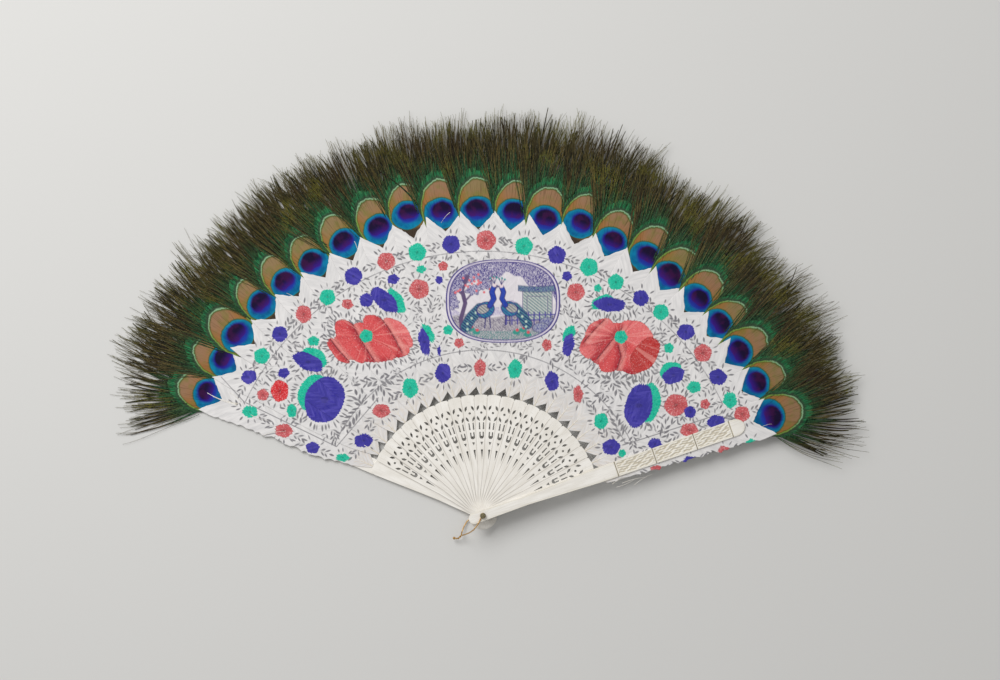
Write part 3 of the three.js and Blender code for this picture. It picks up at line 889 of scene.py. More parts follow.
def garden(x, y):
    """Colours of a small garden in which two peafowl stand between a tree, a fence, a rock and shrubs, and
    the depth in mm inside its frame."""
    rng = np.random.default_rng(5)
    art = Canvas(x, y, rgb(226, 220, 224))
    hatch = 0.45 * np.sin((x * 0.8 + y) * 2.2)
    stipple = rng.normal(0, 0.5, x.shape)
    ground = -13 + 1.6 * np.sin(x / 7) - y
    art.lay(ground, rgb(188, 182, 186))
    art.lay(np.minimum(ground - 1, stipple - 0.1), rgb(112, 104, 128))
    art.lay(np.minimum(-27 - y, stipple), rgb(96, 140, 140))
    hills = np.minimum(5 * np.sin(x / 13 + 1) + 2 * np.sin(x / 4.1) - 6 - y, y + 13)
    art.lay(np.minimum(hills, stipple + 0.2), rgb(186, 178, 204))
    arch = 36 * np.sqrt(np.clip(1 - (x / 50) ** 2, 0, 1)) - 14
    canopy = y - arch - 3.2 * np.sin(x / 6.5 + 0.6) - 1.5 * np.sin(x / 2.1)
    art.lay(canopy, rgb(204, 198, 212))
    art.lay(np.minimum(canopy - 0.4, stipple + 0.15), rgb(82, 74, 138))
    trunk = [(-36, -34), (-38, -16), (-34, -2), (-37, 10), (-32, 22)]
    branches = [(-34, 0), (-27, 8), (-18, 12), (-10, 19)], [(-37, 6), (-44, 12)]
    for points, half in ((trunk, 1.9), (branches[0], 0.8), (branches[1], 0.8)):
        art.lay(art.line(points, half), rgb(96, 78, 116))
    for cx, cy, rx, ry in ((-42, 14, 6, 6), (-27, 10, 6, 4), (-17, 15, 6, 4), (-44, -2, 4, 5)):
        clump = art.oval((cx, cy), (rx, ry)) + 0.8 * np.sin(3 * np.arctan2(y - cy, x - cx) * 2)
        art.hatch(clump, stipple, rgb(196, 190, 208), rgb(76, 68, 136))
    for blossom in rng.uniform((-45, 6), (-8, 24), (20, 2)):
        art.lay(art.oval(blossom, (1.1, 1.1)), rgb(226, 112, 120))
    for low, high, half in ((18, 44, 13), (22, 40, 8)):
        wall = np.minimum(half - np.abs(y + 4), np.minimum(x - low, high - x))
        art.hatch(wall, hatch, rgb(196, 200, 194), rgb(118, 142, 146))
    roof = np.minimum(2.2 - np.abs(y - 10.5 - 0.004 * (x - 31) ** 2), 17 - np.abs(x - 31))
    art.hatch(roof, stipple, rgb(120, 150, 156), rgb(64, 66, 140))
    for level in (-13, -17.5):
        art.lay(art.line([(2, level), (50, level + 1)], 0.5), FENCE)
    for post in range(3, 50, 5):
        art.lay(art.line([(post, -21), (post, -10)], 0.55), FENCE)
    for stone, halves in (((40, -20), (7, 5)), ((34, -24), (7, 4))):
        art.hatch(art.oval(stone, halves), stipple, rgb(168, 172, 186), rgb(86, 86, 150))
    for sx, sy in ((18, -26), (12, -28), (22, -30), (-24, -28), (-29, -25)):
        art.lay(art.oval((sx, sy), (3.4, 2.2)), rgb(52, 148, 136))
        art.lay(art.oval((sx + 0.8, sy + 1.8), (1.5, 1.3)), rgb(214, 84, 96))
    peafowl(art, (-17, -8), 1, 1.25, hatch)
    peafowl(art, (7, -7), -1, 1.15, -hatch)
    share = (np.abs(x / MEDALLION_HALF[0]) ** 2.6 + np.abs(y / MEDALLION_HALF[1]) ** 2.6) ** (1 / 2.6)
    rim = (1 - share) * MEDALLION_HALF[1]
    art.lay(2.6 - rim, rgb(222, 214, 224))
    art.lay(np.maximum(0.55 - np.abs(rim - 0.55), 0.4 - np.abs(rim - 2.6)), rgb(58, 46, 128))
    return art.colours, rim


def motifs():
    """The flowers and petals in the order they are painted, as dictionaries.

    Each has its middle and halves in mm, its lean, its colour and the side on which it darkens, and the
    middle and halves of the whole bloom whose rays it shares.
    """
    rng = np.random.default_rng(3)
    made = []

    def add(place, colour, lean=0.0, dark=0, whole=None):
        px, py, long, short = place
        middle, halves = from_photo(px, py), (long * PX, short * PX)
        heart, reach = whole or (middle, halves)
        made.append({
            "middle": middle, "halves": halves, "lean": math.radians(lean), "colour": colour, "dark": dark,
            "heart": heart, "reach": reach, "single": whole is None,
        })

    for eye, petals in PEONIES:
        whole = from_photo(*eye), (PEONY_HALF * PX, PEONY_HALF * PX)
        for px, py, long, short, lean, colour, dark in petals:
            add((px, py, long, short), colour, lean, dark, whole)
        add((*eye, PEONY_EYE, PEONY_EYE), EMERALD)
    for green, blue in PAIRED_FLOWERS:
        add(green[:4], EMERALD, green[4])
        add(blue[:4], INDIGO, blue[4])
    add(SCARLET_FLOWER, SCARLET)
    for places, colour in ((RED_FLOWERS, DUSTY_RED), (BLUE_FLOWERS, INDIGO), (GREEN_FLOWERS, EMERALD)):
        for place in places:
            add(place, colour, rng.uniform(-15, 15))
    return made


class Ink:
    """The drawn leaves as rows of middle, angle, half length and half width, and stems as rows of ends.

    A leaf is left out where another one's middle is already near.
    """

    def __init__(self):
        self.leaves = []
        self.stems = []
        self.middles = []

    def room(self, x, y):
        """Distance in mm from a place to the nearest leaf's middle."""
        return min((abs(complex(x, y) - middle) for middle in self.middles), default=99.0)

    def leaf(self, x, y, lean, half, wide):
        if self.room(x, y) > LEAF_ROOM:
            self.leaves.append((x, y, lean, half, wide))
            self.middles.append(complex(x, y))

    def stem(self, x, y, ahead_x, ahead_y):
        self.stems.append((x, y, ahead_x, ahead_y))


def burst(rng, flower, way, ink):
    """Leaves that stand out all round a flower, apart from both ways along its border, if it is in one."""
    middle, halves, lean = flower["middle"], flower["halves"], flower["lean"]
    length = 2.3 + 0.12 * min(halves[1], 12)
    count = max(7, int(math.pi * (halves[0] + halves[1]) / BURST_STEP))
    for angle in 2 * math.pi * (np.arange(count) + rng.uniform(-0.2, 0.2, count)) / count:
        along = (halves[0] + FLOWER_ROOM) * math.cos(angle)
        aside = (halves[1] + FLOWER_ROOM) * math.sin(angle)
        out = math.atan2(aside * halves[0], along * halves[1]) + lean
        half = rng.uniform(0.75, 1.15) * length
        wide = rng.uniform(0.7, 1.1)
        turn = rng.normal(0, 0.15)
        if rng.uniform() > 0.92 or (way is not None and abs(math.cos(out - way)) > 0.8):
            continue
        across, up = turned(along, aside, lean)
        out += turn
        ink.leaf(*onward(middle[0] + across, middle[1] + up, out, half), out, half, wide)


def sprig(rng, x, y, heading, pairs, size, ink):
    """Adds a sprig: a stem that bends a little, leaves in pairs along it and one at its end."""
    bend = rng.normal(0, 0.12)
    for pair in range(pairs + 1):
        last = pair == pairs
        for side in ((0,) if last else (-1, 1)):
            lean = heading + side * rng.uniform(0.5, 0.75)
            half = size * rng.uniform(2.3, 3.1)
            wide = size * rng.uniform(0.7, 1.1)
            ink.leaf(*onward(x, y, lean, half + 0.6), lean, half, wide)
        if not last:
            ahead = onward(x, y, heading, size * rng.uniform(3.1, 3.8))
            ink.stem(x, y, *ahead)
            x, y = ahead
            heading += bend


def sprigs(flowers):
    """All the drawn leaves and stems.

    Leaves burst from each flower, sprigs run both ways from the flowers of the borders, and others fill the
    field between, turned away from the nearest flower.
    """
    rng = np.random.default_rng(11)
    ink = Ink()
    for start, end, pairs, size in FRONDS:
        heading = math.atan2(start[1] - end[1], end[0] - start[0])
        sprig(rng, *from_photo(*start), heading, pairs, size, ink)
    for flower in flowers:
        reach = math.hypot(*flower["middle"]) / PX
        bearing = math.atan2(flower["middle"][1], flower["middle"][0])
        way = None
        if not SIDE_BORDERS[0] < math.degrees(bearing) < SIDE_BORDERS[1]:
            way = bearing
        elif reach > RING_LINES[0] or reach < RING_LINES[1]:
            way = bearing + math.pi / 2
        burst(rng, flower, way, ink)
        if way is not None and min(flower["halves"]) > BORDER_FLOWER:
            for heading in (way, way + math.pi):
                start = onward(*flower["middle"], heading, flower["halves"][0] + FLOWER_ROOM)
                sprig(rng, *start, heading, 2, 1.1, ink)
    hearts = np.array([flower["middle"] for flower in flowers])
    sizes = np.array([math.sqrt(flower["halves"][0] * flower["halves"][1]) for flower in flowers])
    for ring in np.arange(*FIELD_RINGS):
        count = int(math.radians(FIELD_DEG) * ring / FIELD_STEP)
        for share in (np.arange(count) + rng.uniform(0.1, 0.9, count)) / count:
            turn = math.radians(FIELD_FROM_DEG - share * FIELD_DEG)
            x, y = onward(0, 0, turn, (ring + rng.uniform(-2, 2)) * PX)
            gaps = np.hypot(hearts[:, 0] - x, hearts[:, 1] - y) - sizes
            near = np.argmin(gaps)
            heading = math.atan2(y - hearts[near][1], x - hearts[near][0]) + rng.normal(0, 0.5)
            pairs, size = int(rng.integers(1, 4)), rng.uniform(0.8, 1.15)
            if gaps[near] > FIELD_ROOM and ink.room(x, y) > SPRIG_ROOM:
                sprig(rng, x, y, heading, pairs, size, ink)
    return np.array(ink.leaves), np.array(ink.stems)


def nearby(rows, x, y, margin):
    """The rows whose first two values lie inside the points' box grown by the margin."""
    keep = (rows[:, 0] > x.min() - margin) & (rows[:, 0] < x.max() + margin)
    keep &= (rows[:, 1] > y.min() - margin) & (rows[:, 1] < y.max() + margin)
    return rows[keep]


def ink_and_split_shadow_depth(x, y, leaves, stems):
    """Depth in mm inside the drawn lines and leaves, and the painted shadow lines of the splits. A leaf's
    half width shrinks to nothing at both ends.
    """
    reach = np.hypot(x, y)
    best = np.full(x.shape, BARE)
    bearing = np.degrees(np.arctan2(y, x))
    ends = np.minimum(bearing - RING_ENDS[0], RING_ENDS[1] - bearing)
    for ring in RING_LINES:
        best = np.maximum(best, np.minimum(LINE_HALF - np.abs(reach - ring * PX), ends))
    # The splits are drawn as dark lines: painted shadow
    for ends in SIDE_LINES + SPLIT_SHADOWS:
        best = np.maximum(best, stroke(x, y, [from_photo(*end) for end in ends], LINE_HALF))
    for cx, cy, lean, half, wide in nearby(leaves, x, y, 3):
        along, aside = turned(x - cx, y - cy, -lean)
        best = np.maximum(best, wide * (1 - (along / half) ** 2) - np.abs(aside))
    for ax, ay, bx, by in nearby(stems, x, y, 4):
        best = np.maximum(best, stroke(x, y, [(ax, ay), (bx, by)], STEM_HALF))
    return best


def painting(x, y, flowers, leaves, stems):
    """What is painted at places on the open leaf, as attributes of the vane's points.

    cover is the depth in mm inside the paint, seam the depth inside the one flower or petal on top there,
    paint its colour, bloom the place within it as shares of its halves, with its number, and whorl is 1 in a
    flower and 0 in the medallion.
    """
    mx, my = from_photo(*MEDALLION_PX)
    paint, rim = garden(x - mx, y - my)
    cover = np.maximum(rim, BARE)
    seam = np.maximum(cover, 2.0)
    bloom = np.stack([(x - mx) / MEDALLION_REACH, (y - my) / MEDALLION_REACH, np.zeros(x.shape)], -1)
    whorl = np.zeros(x.shape)
    for number, flower in enumerate(flowers):
        middle, halves = flower["middle"], flower["halves"]
        if np.hypot(x - middle[0], y - middle[1]).min() > max(halves) + 4:
            continue
        along, aside = turned(x - middle[0], y - middle[1], -flower["lean"])
        along, aside = along / halves[0], aside / halves[1]
        angle = np.arctan2(aside, along)
        teeth = round(math.pi * (halves[0] + halves[1]) / TOOTH)
        lobes = np.cos(teeth * angle + number) * np.cos(2 * angle + 3 * number)
        lobes += np.cos(5 * angle + 2 * number)
        depth = (1 - np.hypot(along, aside)) * min(halves) + LOBE * lobes
        over = (depth > 0) | ((cover <= 0) & (depth > cover))
        cover = np.where(over, np.maximum(depth, cover), cover)
        seam = np.where(over, depth, seam)
        whorl = np.where(over, 1.0 if flower["single"] else 0.6, whorl)
        dark = smooth_step(flower["dark"] * aside, 0.1, 1.0)[..., None] * abs(flower["dark"])
        colour = np.array(flower["colour"]) * (1 - dark) + np.array(CRIMSON) * dark
        paint = np.where(over[..., None], colour, paint)
        heart, reach = flower["heart"], flower["reach"]
        kind = np.full(x.shape, 3.7 * number)
        place = np.stack([(x - heart[0]) / reach[0], (y - heart[1]) / reach[1], kind], -1)
        bloom = np.where(over[..., None], place, bloom)
    red = paint[..., 0] > paint[..., 1]
    for fold in FOLDS:
        for shift, half, colour, soft in FOLD_COATS:
            line = stroke(x, y, [from_photo(px + shift, py) for px, py in fold], half)
            paint = lay_on(paint, np.where(red, np.minimum(line, cover), -np.inf), colour, soft)
    ink = ink_and_split_shadow_depth(x, y, leaves, stems)
    return {"cover": cover, "seam": seam, "paint": paint, "bloom": bloom, "ink": ink, "whorl": whorl}


# Feathers


def vane_half(x, side):
    """Half width of the vane at x, on its right where the side is below 0 and on its left elsewhere.

    It follows a table of shares, with the corners smoothed over a few mm.
    """
    halves = []
    for shares in (RIGHT_SHARES, LEFT_SHARES):
        along, half = np.array(shares).T
        at = VANE_FROM + along * (NOTCH_AT + TIP_RISE - VANE_FROM)
        near = [x + shift * np.clip((x - 112) / 20, 0, 1) for shift in np.linspace(-5, 5, 9)]
        halves.append(np.mean([np.interp(place, at, half * VANE_HALF) for place in near], axis=0))
    return np.where(side < 0, *halves)


def crown(x, y):
    """Height of a feather's gentle arch: full at the quill, none at the vane's edge, fading to both ends."""
    arch = np.clip(1 - (y / vane_half(x, y)) ** 2, 0, 1)
    return CROWN * arch * smooth_step(x, *CROWN_RISES) * smooth_step(x, *CROWN_FALLS)


def on_free_side(blade, across):
    """Whether places across a feather are on its free side, which only the first and the last one have."""
    return ((across > 0) & (blade == 0)) | ((across < 0) & (blade == BLADES - 1))


def web(blade, x, y, w, thick, lay):
    """A feather's thin sheet: its top grid on the fan, its points and faces, and the attributes lay and
    under, which say where a point lies on the feather and whether it is on the underside."""
    top = on_blade(blade, x, y, w)
    under = on_blade(blade, x, y, w - thick)[:, ::UNDER_STEP]
    lay = np.stack(np.broadcast_arrays(*lay), -1)
    attributes = {
        "lay": np.concatenate([lay.reshape(-1, 3), lay[:, ::UNDER_STEP].reshape(-1, 3)]),
        "under": np.repeat([0.0, 1.0], [top[..., 0].size, under[..., 0].size]),
    }
    return top, *closed_sheet(top, under), attributes


def white_vane(blade, rng, look, painted):
    """The vane: rows run from its base to its tip's two points, columns from its right edge to its left."""
    u = np.linspace(0, 1, VANE_GRID[0])[:, None]
    v = np.linspace(-1, 1, VANE_GRID[1])[None, :]
    tip_knots, side_knots = FRAY_KNOTS
    ragged = np.interp(v, np.linspace(-1, 1, tip_knots), rng.normal(0, TIP_FRAY, tip_knots))
    x = VANE_FROM + u * (NOTCH_AT + TIP_RISE * np.abs(v) + ragged - VANE_FROM)
    at = np.linspace(VANE_FROM, NOTCH_AT, side_knots)
    fray = np.interp(x, at, rng.normal(0, SIDE_FRAY, side_knots))
    y = v * vane_half(x, v) + on_free_side(blade, v) * v**3 * fray * smooth_step(x, *FRAY_STARTS)
    seed = rng.uniform(0, 50)
    ripple = RIPPLE * np.sin(x / 7 + seed) * np.sin(4 * v + seed)
    ridge = RIDGE * np.exp(-((y / RIDGE_HALF) ** 2)) * smooth_step(x, *RIDGE_STARTS)
    w = VANE_TOP + crown(x, y) + ripple + ridge
    top, points, faces, attributes = web(blade, x, y, w, VANE_THICK, (x, y, seed))
    for key, values in painting(top[..., 0], top[..., 1], *painted).items():
        flat = values.reshape(x.size, *values.shape[2:])
        below = np.full((len(points) - x.size, *values.shape[2:]), 0.0 if values.ndim == 3 else BARE)
        attributes[key] = np.concatenate([flat, below])
    return feather_piece("white_vane", blade, look, "feather", points, faces, attributes)


def quill(blade, look):
    """The quill: a flat tube that leaves the stick's tip, climbs onto the vane, thins and sinks into it."""
    t = np.linspace(0, 1, 48)
    x = QUILL_ROOT + t * (QUILL_SINKS - QUILL_ROOT)
    y = np.zeros(x.shape)
    low = QUILL_LOW + (VANE_TOP + QUILL_LIFT - QUILL_LOW) * smooth_step(x, *QUILL_CLIMBS)
    w = low + crown(x, y) - QUILL_DROP * smooth_step(x, QUILL_THINS, QUILL_SINKS)
    half = QUILL_HALVES[0] + (QUILL_HALVES[1] - QUILL_HALVES[0]) * t**0.6
    points, faces = strands(on_blade(blade, x, y, w)[None], half[None], 8, QUILL_FLAT)
    return feather_piece("quill", blade, look, "feather", points, faces)


def plug(blade, look):
    """Fills the socket in a stick's tip, level with the stick, so that the quill seems to leave its end."""
    inner, aside, beneath, above = PLUG_ROOM
    low, half = STICK_END - SOCKET_DEPTH + inner, SOCKET_HALF - aside
    outline = [(low, -half), (STICK_END, -half), (STICK_END, half), (low, half)]
    points, faces = prism(outline, beneath, STICK_THICK - above, blade)
    return feather_piece("plug", blade, look, "bone", points, faces, smooth=False)


def eye_place(x, y, eye):
    """Where a place of the common eye lies on its blade, once the eye is turned, scaled and shifted."""
    along, aside, size, lean = eye[:4]
    ahead, across = turned((x - EYE_CENTRE) * size, y * size, lean)
    return EYE_CENTRE + along + ahead, aside + across


def eye_web(blade, rng, look, eye):
    """The close web of the peacock feather: from its root under the vane to a frayed edge past the rim."""
    rows, columns = WEB_GRID
    u = np.linspace(0, 1, rows)[:, None]
    v = np.linspace(-0.985, 0.985, columns)[None, :]
    y = np.broadcast_to(v * (RIM_HALF + WEB_SIDE), (rows, columns))
    low = np.interp(np.abs(y), *np.array(WEB_LOW).T)
    fray = WEB_PAST + rng.uniform(-WEB_FRAY, WEB_FRAY, columns)
    high = EYE_CENTRE + (RIM_UP + fray) * np.sqrt(1 - v * v)
    x = low + u * (high - low)
    lay = x, y, rng.uniform(0, 50)
    x, y = eye_place(x, y, eye)
    _, points, faces, attributes = web(blade, x, y, WEB_TOP + crown(x, y), WEB_THICK, lay)
    return feather_piece("eye", blade, look, "peacock", points, faces, attributes)


def barbules(paths, rng, count, length, width):
    """Short pointed hairs that slant forward from both sides of each barb, as slim closed pyramids.

    Returns their points and faces, and how far along the barb each hair stands.
    """
    shape = len(paths), count, 1
    t = np.linspace(*HAIR_SPAN, count)
    at = t * (paths.shape[1] - 1)
    index = np.floor(at).astype(int)
    share = (at - index)[None, :, None]
    base = paths[:, index] * (1 - share) + paths[:, index + 1] * share
    ahead = paths[:, index + 1] - paths[:, index]
    ahead /= np.linalg.norm(ahead, axis=-1, keepdims=True)
    side = np.where(np.arange(count) % 2, 1.0, -1.0)[None, :, None]
    across = np.cross([0.0, 0.0, 1.0], ahead)
    slant = rng.uniform(*HAIR_SLANT, shape)
    out = np.cos(slant) * ahead + side * np.sin(slant) * across
    reach = length * (1 - HAIR_TAPER * t)[None, :, None] * rng.uniform(0.6, 1.2, shape)
    lift = rng.uniform(-0.06, 0.08, shape) * [0.0, 0.0, 1.0]
    half = side * ahead * width / 2
    rise = np.array([0.0, 0.0, width / 2])
    points = np.stack([base - half, base + half, base + rise, base + out * reach + lift], axis=2)
    corner = 4 * np.arange(len(paths) * count)[:, None]
    faces = [corner + np.array(face) for face in ((0, 3, 1), (1, 3, 2), (0, 2, 3), (0, 1, 2))]
    return points.reshape(-1, 3), faces, t


def barb_lines(blade, rng, count, steps, inner, eye):
    """Courses of loose barbs: their x and y at each step, and how far along each step is.

    Each leaves the eye near its rim, bends to run outwards and is drawn a little towards its tuft's tip, and
    one in seven strays across the others. On the free side of the first and last feathers they splay.
    """
    widest = math.radians(BARB_FAN_DEG)
    turn = np.linspace(-widest, widest, count) + rng.uniform(-0.04, 0.04, count)
    free = on_free_side(blade, turn)
    root = rng.uniform(inner, inner + 0.2, count)
    x0, y0 = eye_place(EYE_CENTRE + RIM_UP * root * np.cos(turn), RIM_HALF * root * np.sin(turn), eye)
    first = turn * np.where(free, 0.5, 0.2) + rng.normal(0, 0.03, count) + eye[3]
    loose = np.where(rng.uniform(0, 1, count) > STEADY_SHARE, LOOSE_TIMES, 1.0)
    last = turn * np.where(free, 0.4, 0.24) + loose * rng.normal(0, 0.12, count) + eye[3] + eye[4]
    tuft = np.clip(((turn / widest + 1) / 2 * TUFTS).astype(int), 0, TUFTS - 1)
    tip = BARB_TIP + eye[5] + rng.normal(0, TUFT_SPREAD, TUFTS)[tuft] + rng.normal(0, BARB_SPREAD, count)
    tip -= SIDE_LOSS * (turn / widest) ** 2
    tip = np.where(free, tip - FREE_LOSS * np.abs(turn), tip)
    length = (tip - np.hypot(x0, y0)) / np.cos((first + last) / 2)
    t = np.linspace(0, 1, steps)[None, :]
    wave = rng.uniform(0, 2 * np.pi, count)[:, None]
    heading = first[:, None] + (last - first)[:, None] * t**0.75
    heading = heading + 0.13 * t * np.sin(5 * t + wave)
    step = length[:, None] / (steps - 1)
    x = x0[:, None] + (np.cumsum(np.cos(heading), axis=1) - np.cos(heading[:, :1])) * step
    y = y0[:, None] + (np.cumsum(np.sin(heading), axis=1) - np.sin(heading[:, :1])) * step
    tuft_y = np.array([y[tuft == k, -1].mean() for k in range(TUFTS)])
    pull = rng.uniform(0.0, 0.6, count)[:, None]
    y = y + (tuft_y[tuft] - y[:, -1])[:, None] * t**1.6 * pull
    return x, y, np.broadcast_to(t, x.shape)


def strand_rows(rng, t, each, corners):
    """The strand attribute: how far along its strand a point is, and two chances drawn for each strand."""
    chances = rng.uniform(0, 1, (2, *each))
    return np.stack(np.broadcast_arrays(t, *chances), -1).reshape(-1, 3).repeat(corners, axis=0)


def loose_barbs(blade, rng, look, eye):
    """The loose barbs: flat dark ribbons beneath, partly painted shade, and over them round ones fringed with
    hairs.
    """
    x, y, t = (part[:, :-1] for part in barb_lines(blade, rng, SHADE_RIBBONS, 9, 0.8, eye))
    level = rng.uniform(*SHADE_RIBBON_LEVELS, (SHADE_RIBBONS, 1))
    half = (0.1 + 0.9 * (1 - t) ** 0.8) * rng.uniform(0.8, 1.2, (SHADE_RIBBONS, 1))
    ribbons = strands(on_blade(blade, x, y, level + crown(x, y)), half, 4, 0.06)
    rows = [strand_rows(rng, t, (SHADE_RIBBONS, 1), 4)]

    x, y, t = barb_lines(blade, rng, BARBS, 16, 1.04, eye)
    level = rng.uniform(*BARB_LEVELS, (BARBS, 1))
    w = 0.1 + (level - 0.1) * smooth_step(t, 0, 0.3) + crown(x, y)
    half = (0.18 * (1 - t) ** 0.6 + 0.11) * rng.uniform(0.75, 1.2, (BARBS, 1))
    twist = np.pi / 2 + 0.7 * np.sin(9 * t + rng.uniform(0, 6, (BARBS, 1)))
    paths = on_blade(blade, x, y, w)
    shafts = strands(paths, half, 3, 0.5, twist)
    rows.append(strand_rows(rng, t, (BARBS, 1), 3))

    hair_points, hair_faces, hair_t = barbules(paths, rng, HAIRS, HAIR_LENGTH, HAIR_WIDTH)
    rows.append(strand_rows(rng, hair_t, (BARBS, HAIRS), 4))

    points, faces = gathered(ribbons, shafts, (hair_points, hair_faces))
    kind = np.repeat([1.0, 0.0, 0.5], [len(ribbons[0]), len(shafts[0]), len(hair_points)])
    attributes = {"strand": np.concatenate(rows), "kind": kind}
    return feather_piece("barbs", blade, look, "peacock", points, faces, attributes)


def feathers():
    """The white feather, quill, plug and peacock feather of each blade.

    An eye is what sets a peacock feather apart: its shift out and aside, its size and lean, and how far its
    barbs turn and reach beyond the rest.
    """
    white, horn, eyes, barbs = white_feather_look(), quill_look(), peacock_eye_look(), barb_look()
    bone = bone_look("plug")
    flowers = motifs()
    painted = (flowers, *sprigs(flowers))
    for blade in range(BLADES):
        rng = np.random.default_rng(100 + blade)
        eye = (rng.normal(0, 1.8), rng.normal(0, 1.3), rng.uniform(0.93, 1.05), rng.normal(0, 0.06),
               rng.normal(0, 0.07), rng.normal(0, 3.5))
        white_vane(blade, rng, white, painted)
        quill(blade, horn)
        plug(blade, bone)
        eye_web(blade, rng, eyes, eye)
        loose_barbs(blade, rng, barbs, eye)


STRAY_THICK = 0.07
# Loose white fibres, each from one px of the photograph to another with a sideways bow and its half width in
# mm, on its blade
STRAYS = (
    (4, (303, 305), (286, 293), -1.2, 0.4),
    (9, (450, 212), (441, 223), -0.8, 0.22),
    (6, (354, 241), (358, 256), 0.8, 0.22),
    (1, (240, 402), (228, 393), -1.0, 0.3),
    (2, (250, 415), (268, 421), -1.0, 0.22),
    (0, (262, 436), (285, 432), 1.4, 0.22),
    (0, (236, 405), (206, 393), 1.2, 0.75),
    (0, (238, 404), (212, 397), 0.4, 0.4),
    (21, (612, 484), (628, 477), 1.2, 0.22),
    (21, (616, 487), (636, 478), -1.0, 0.22),
    (21, (622, 483), (645, 477), 0.8, 0.25),
    (21, (634, 485), (652, 474), 1.0, 0.22),
    (21, (760, 428), (772, 424), 0.8, 0.22),
)


def strays(look):
    """Loose white fibres that have come away from the vanes: thin tubes that bow to one side."""
    t = np.linspace(0, 1, 14)
    for number, (blade, start, end, bow, half) in enumerate(STRAYS, 1):
        ends = np.array([from_photo(*start), from_photo(*end)])
        ahead = ends[1] - ends[0]
        side = np.array([-ahead[1], ahead[0]]) / np.hypot(*ahead)
        place = ends[0] + t[:, None] * ahead + 4 * bow * (t * (1 - t))[:, None] * side
        x, y = turned(*place.T, -blade_angle(blade))
        path = on_blade(blade, x, y, VANE_TOP + STRAY_THICK + crown(x, y))
        points, faces = strands(path[None], (half * (1 - 0.7 * t))[None], 6, STRAY_THICK / half)
        piece = mesh_object(f"stray_{number:02d}", points, faces)
        finish_piece(piece, look, blade_body(blade), "feather")


# Sticks, guards, rivet and loop


def stick_outline():
    """A stick's edge, anticlockwise: a round head, sides that open to the shoulders, a socket in the tip."""
    turns = np.linspace(math.pi / 2, 1.5 * math.pi, 25)
    head = [onward(HEAD_HALF - HEAD_REACH, 0, turn, HEAD_HALF) for turn in turns]
    side = [
        (THROAT_AT, THROAT_HALF), (STICK_END - CORNER[0], SHOULDER_HALF),
        (STICK_END - CORNER_CROWN, SHOULDER_HALF - CORNER[1]), (STICK_END, SOCKET_HALF),
        (STICK_END - SOCKET_DEPTH, SOCKET_HALF),
    ]
    return head + [(x, -y) for x, y in side] + side[::-1]


def plate_half(x):
    """Half width of a guard's plate: a round head, straight sides, and a tip that is half an ellipse."""
    centre, tip_at = HEAD_HALF - HEAD_REACH, GUARD_END - GUARD_TIP
    knots = (centre, THROAT_AT, STICK_END, tip_at)
    side = np.interp(x, knots, (HEAD_HALF, THROAT_HALF, GUARD_HALF, GUARD_TIP_HALF))
    head = np.sqrt(1 - np.clip((centre - x) / HEAD_HALF, 0, 1) ** 2)
    return side * head * np.sqrt(1 - np.clip((x - tip_at) / GUARD_TIP, 0, 1) ** 2)


def carving(x, y):
    """Depth in mm to which a guard's face is cut at x and y.

    The edge is bevelled and a line runs beside it. Between two dividers a panel is sunk within a rim, and
    long leaves stand in it: they are where a wave across the plate, bent and broken by slower waves along it,
    is high. Each divider is a deep V.
    """
    edge = plate_half(x) - np.abs(y)
    depth = BEVEL * (1 - smooth_step(edge, 0, 0.4))
    depth += EDGE_LINE_DEPTH * np.exp(-(((edge - EDGE_LINE_AT) / 0.25) ** 2))
    dividers = [share * GUARD_END for share in DIVIDER_SHARES]
    for low, high in zip(dividers, dividers[1:]):
        inside = np.minimum(np.minimum(x - low, high - x), edge) - PANEL_RIM
        wave = np.sin(3.1 * y + 1.6 * np.sin(0.23 * x) + 0.6 * np.sin(0.61 * x + 1))
        wave += 0.9 * np.sin(0.47 * x + 2.2 * np.sin(0.9 * y)) + 0.8 * np.sin(1.07 * x - 1.7 * y)
        leaves = 0.9 * smooth_step(wave, -0.6, 0.7)
        depth = depth + CARVED_DEPTH * smooth_step(inside, 0, 0.4) * (1 - leaves)
    for divider in dividers:
        depth = depth + DIVIDER_DEPTH * np.clip(1 - np.abs(x - divider) / DIVIDER_HALF, 0, 1)
    return depth


def guard(blade, look, outward):
    """A guard: its own stick, and a plate on the stick's outer face with that side carved."""
    centre, tip_at = HEAD_HALF - HEAD_REACH, GUARD_END - GUARD_TIP
    head = centre - HEAD_HALF * np.cos(np.linspace(0.04, math.pi / 2, 14))
    tip = tip_at + GUARD_TIP * np.sin(np.linspace(0, math.pi / 2 - 0.04, 20))
    x = np.concatenate([head, np.linspace(centre, tip_at, GUARD_GRID[0])[1:-1], tip])[:, None]
    v = np.concatenate([[-1, -0.965], np.linspace(-0.93, 0.93, GUARD_GRID[1]), [0.965, 1]]) * outward
    x, v = np.broadcast_arrays(x, v)
    y = v * plate_half(x)
    depth = carving(x, y)
    inner = STICK_THICK + PLATE_GAP if outward > 0 else -PLATE_GAP
    top = on_blade(blade, x, y, inner + outward * PLATE_THICK - outward * depth, False)
    points, faces = closed_sheet(top, on_blade(blade, x, y, inner, False)[:, ::UNDER_STEP])
    deep = np.zeros(len(points))
    deep[:depth.size] = np.clip(depth / CARVED_DEPTH, 0, 2).ravel()
    name = "front" if outward > 0 else "rear"
    plate = mesh_object(f"{name}_guard_plate", points, faces, {"deep": deep})
    low, high = min(0, inner), max(STICK_THICK, inner)
    stick = mesh_object(f"{name}_guard_stick", *prism(stick_outline(), low, high, blade))
    for piece in (plate, stick):
        bore(piece)
        piece.data.set_sharp_from_angle(angle=math.radians(45))
        finish_piece(piece, look, blade_body(blade), "bone", f"{name}_guard")


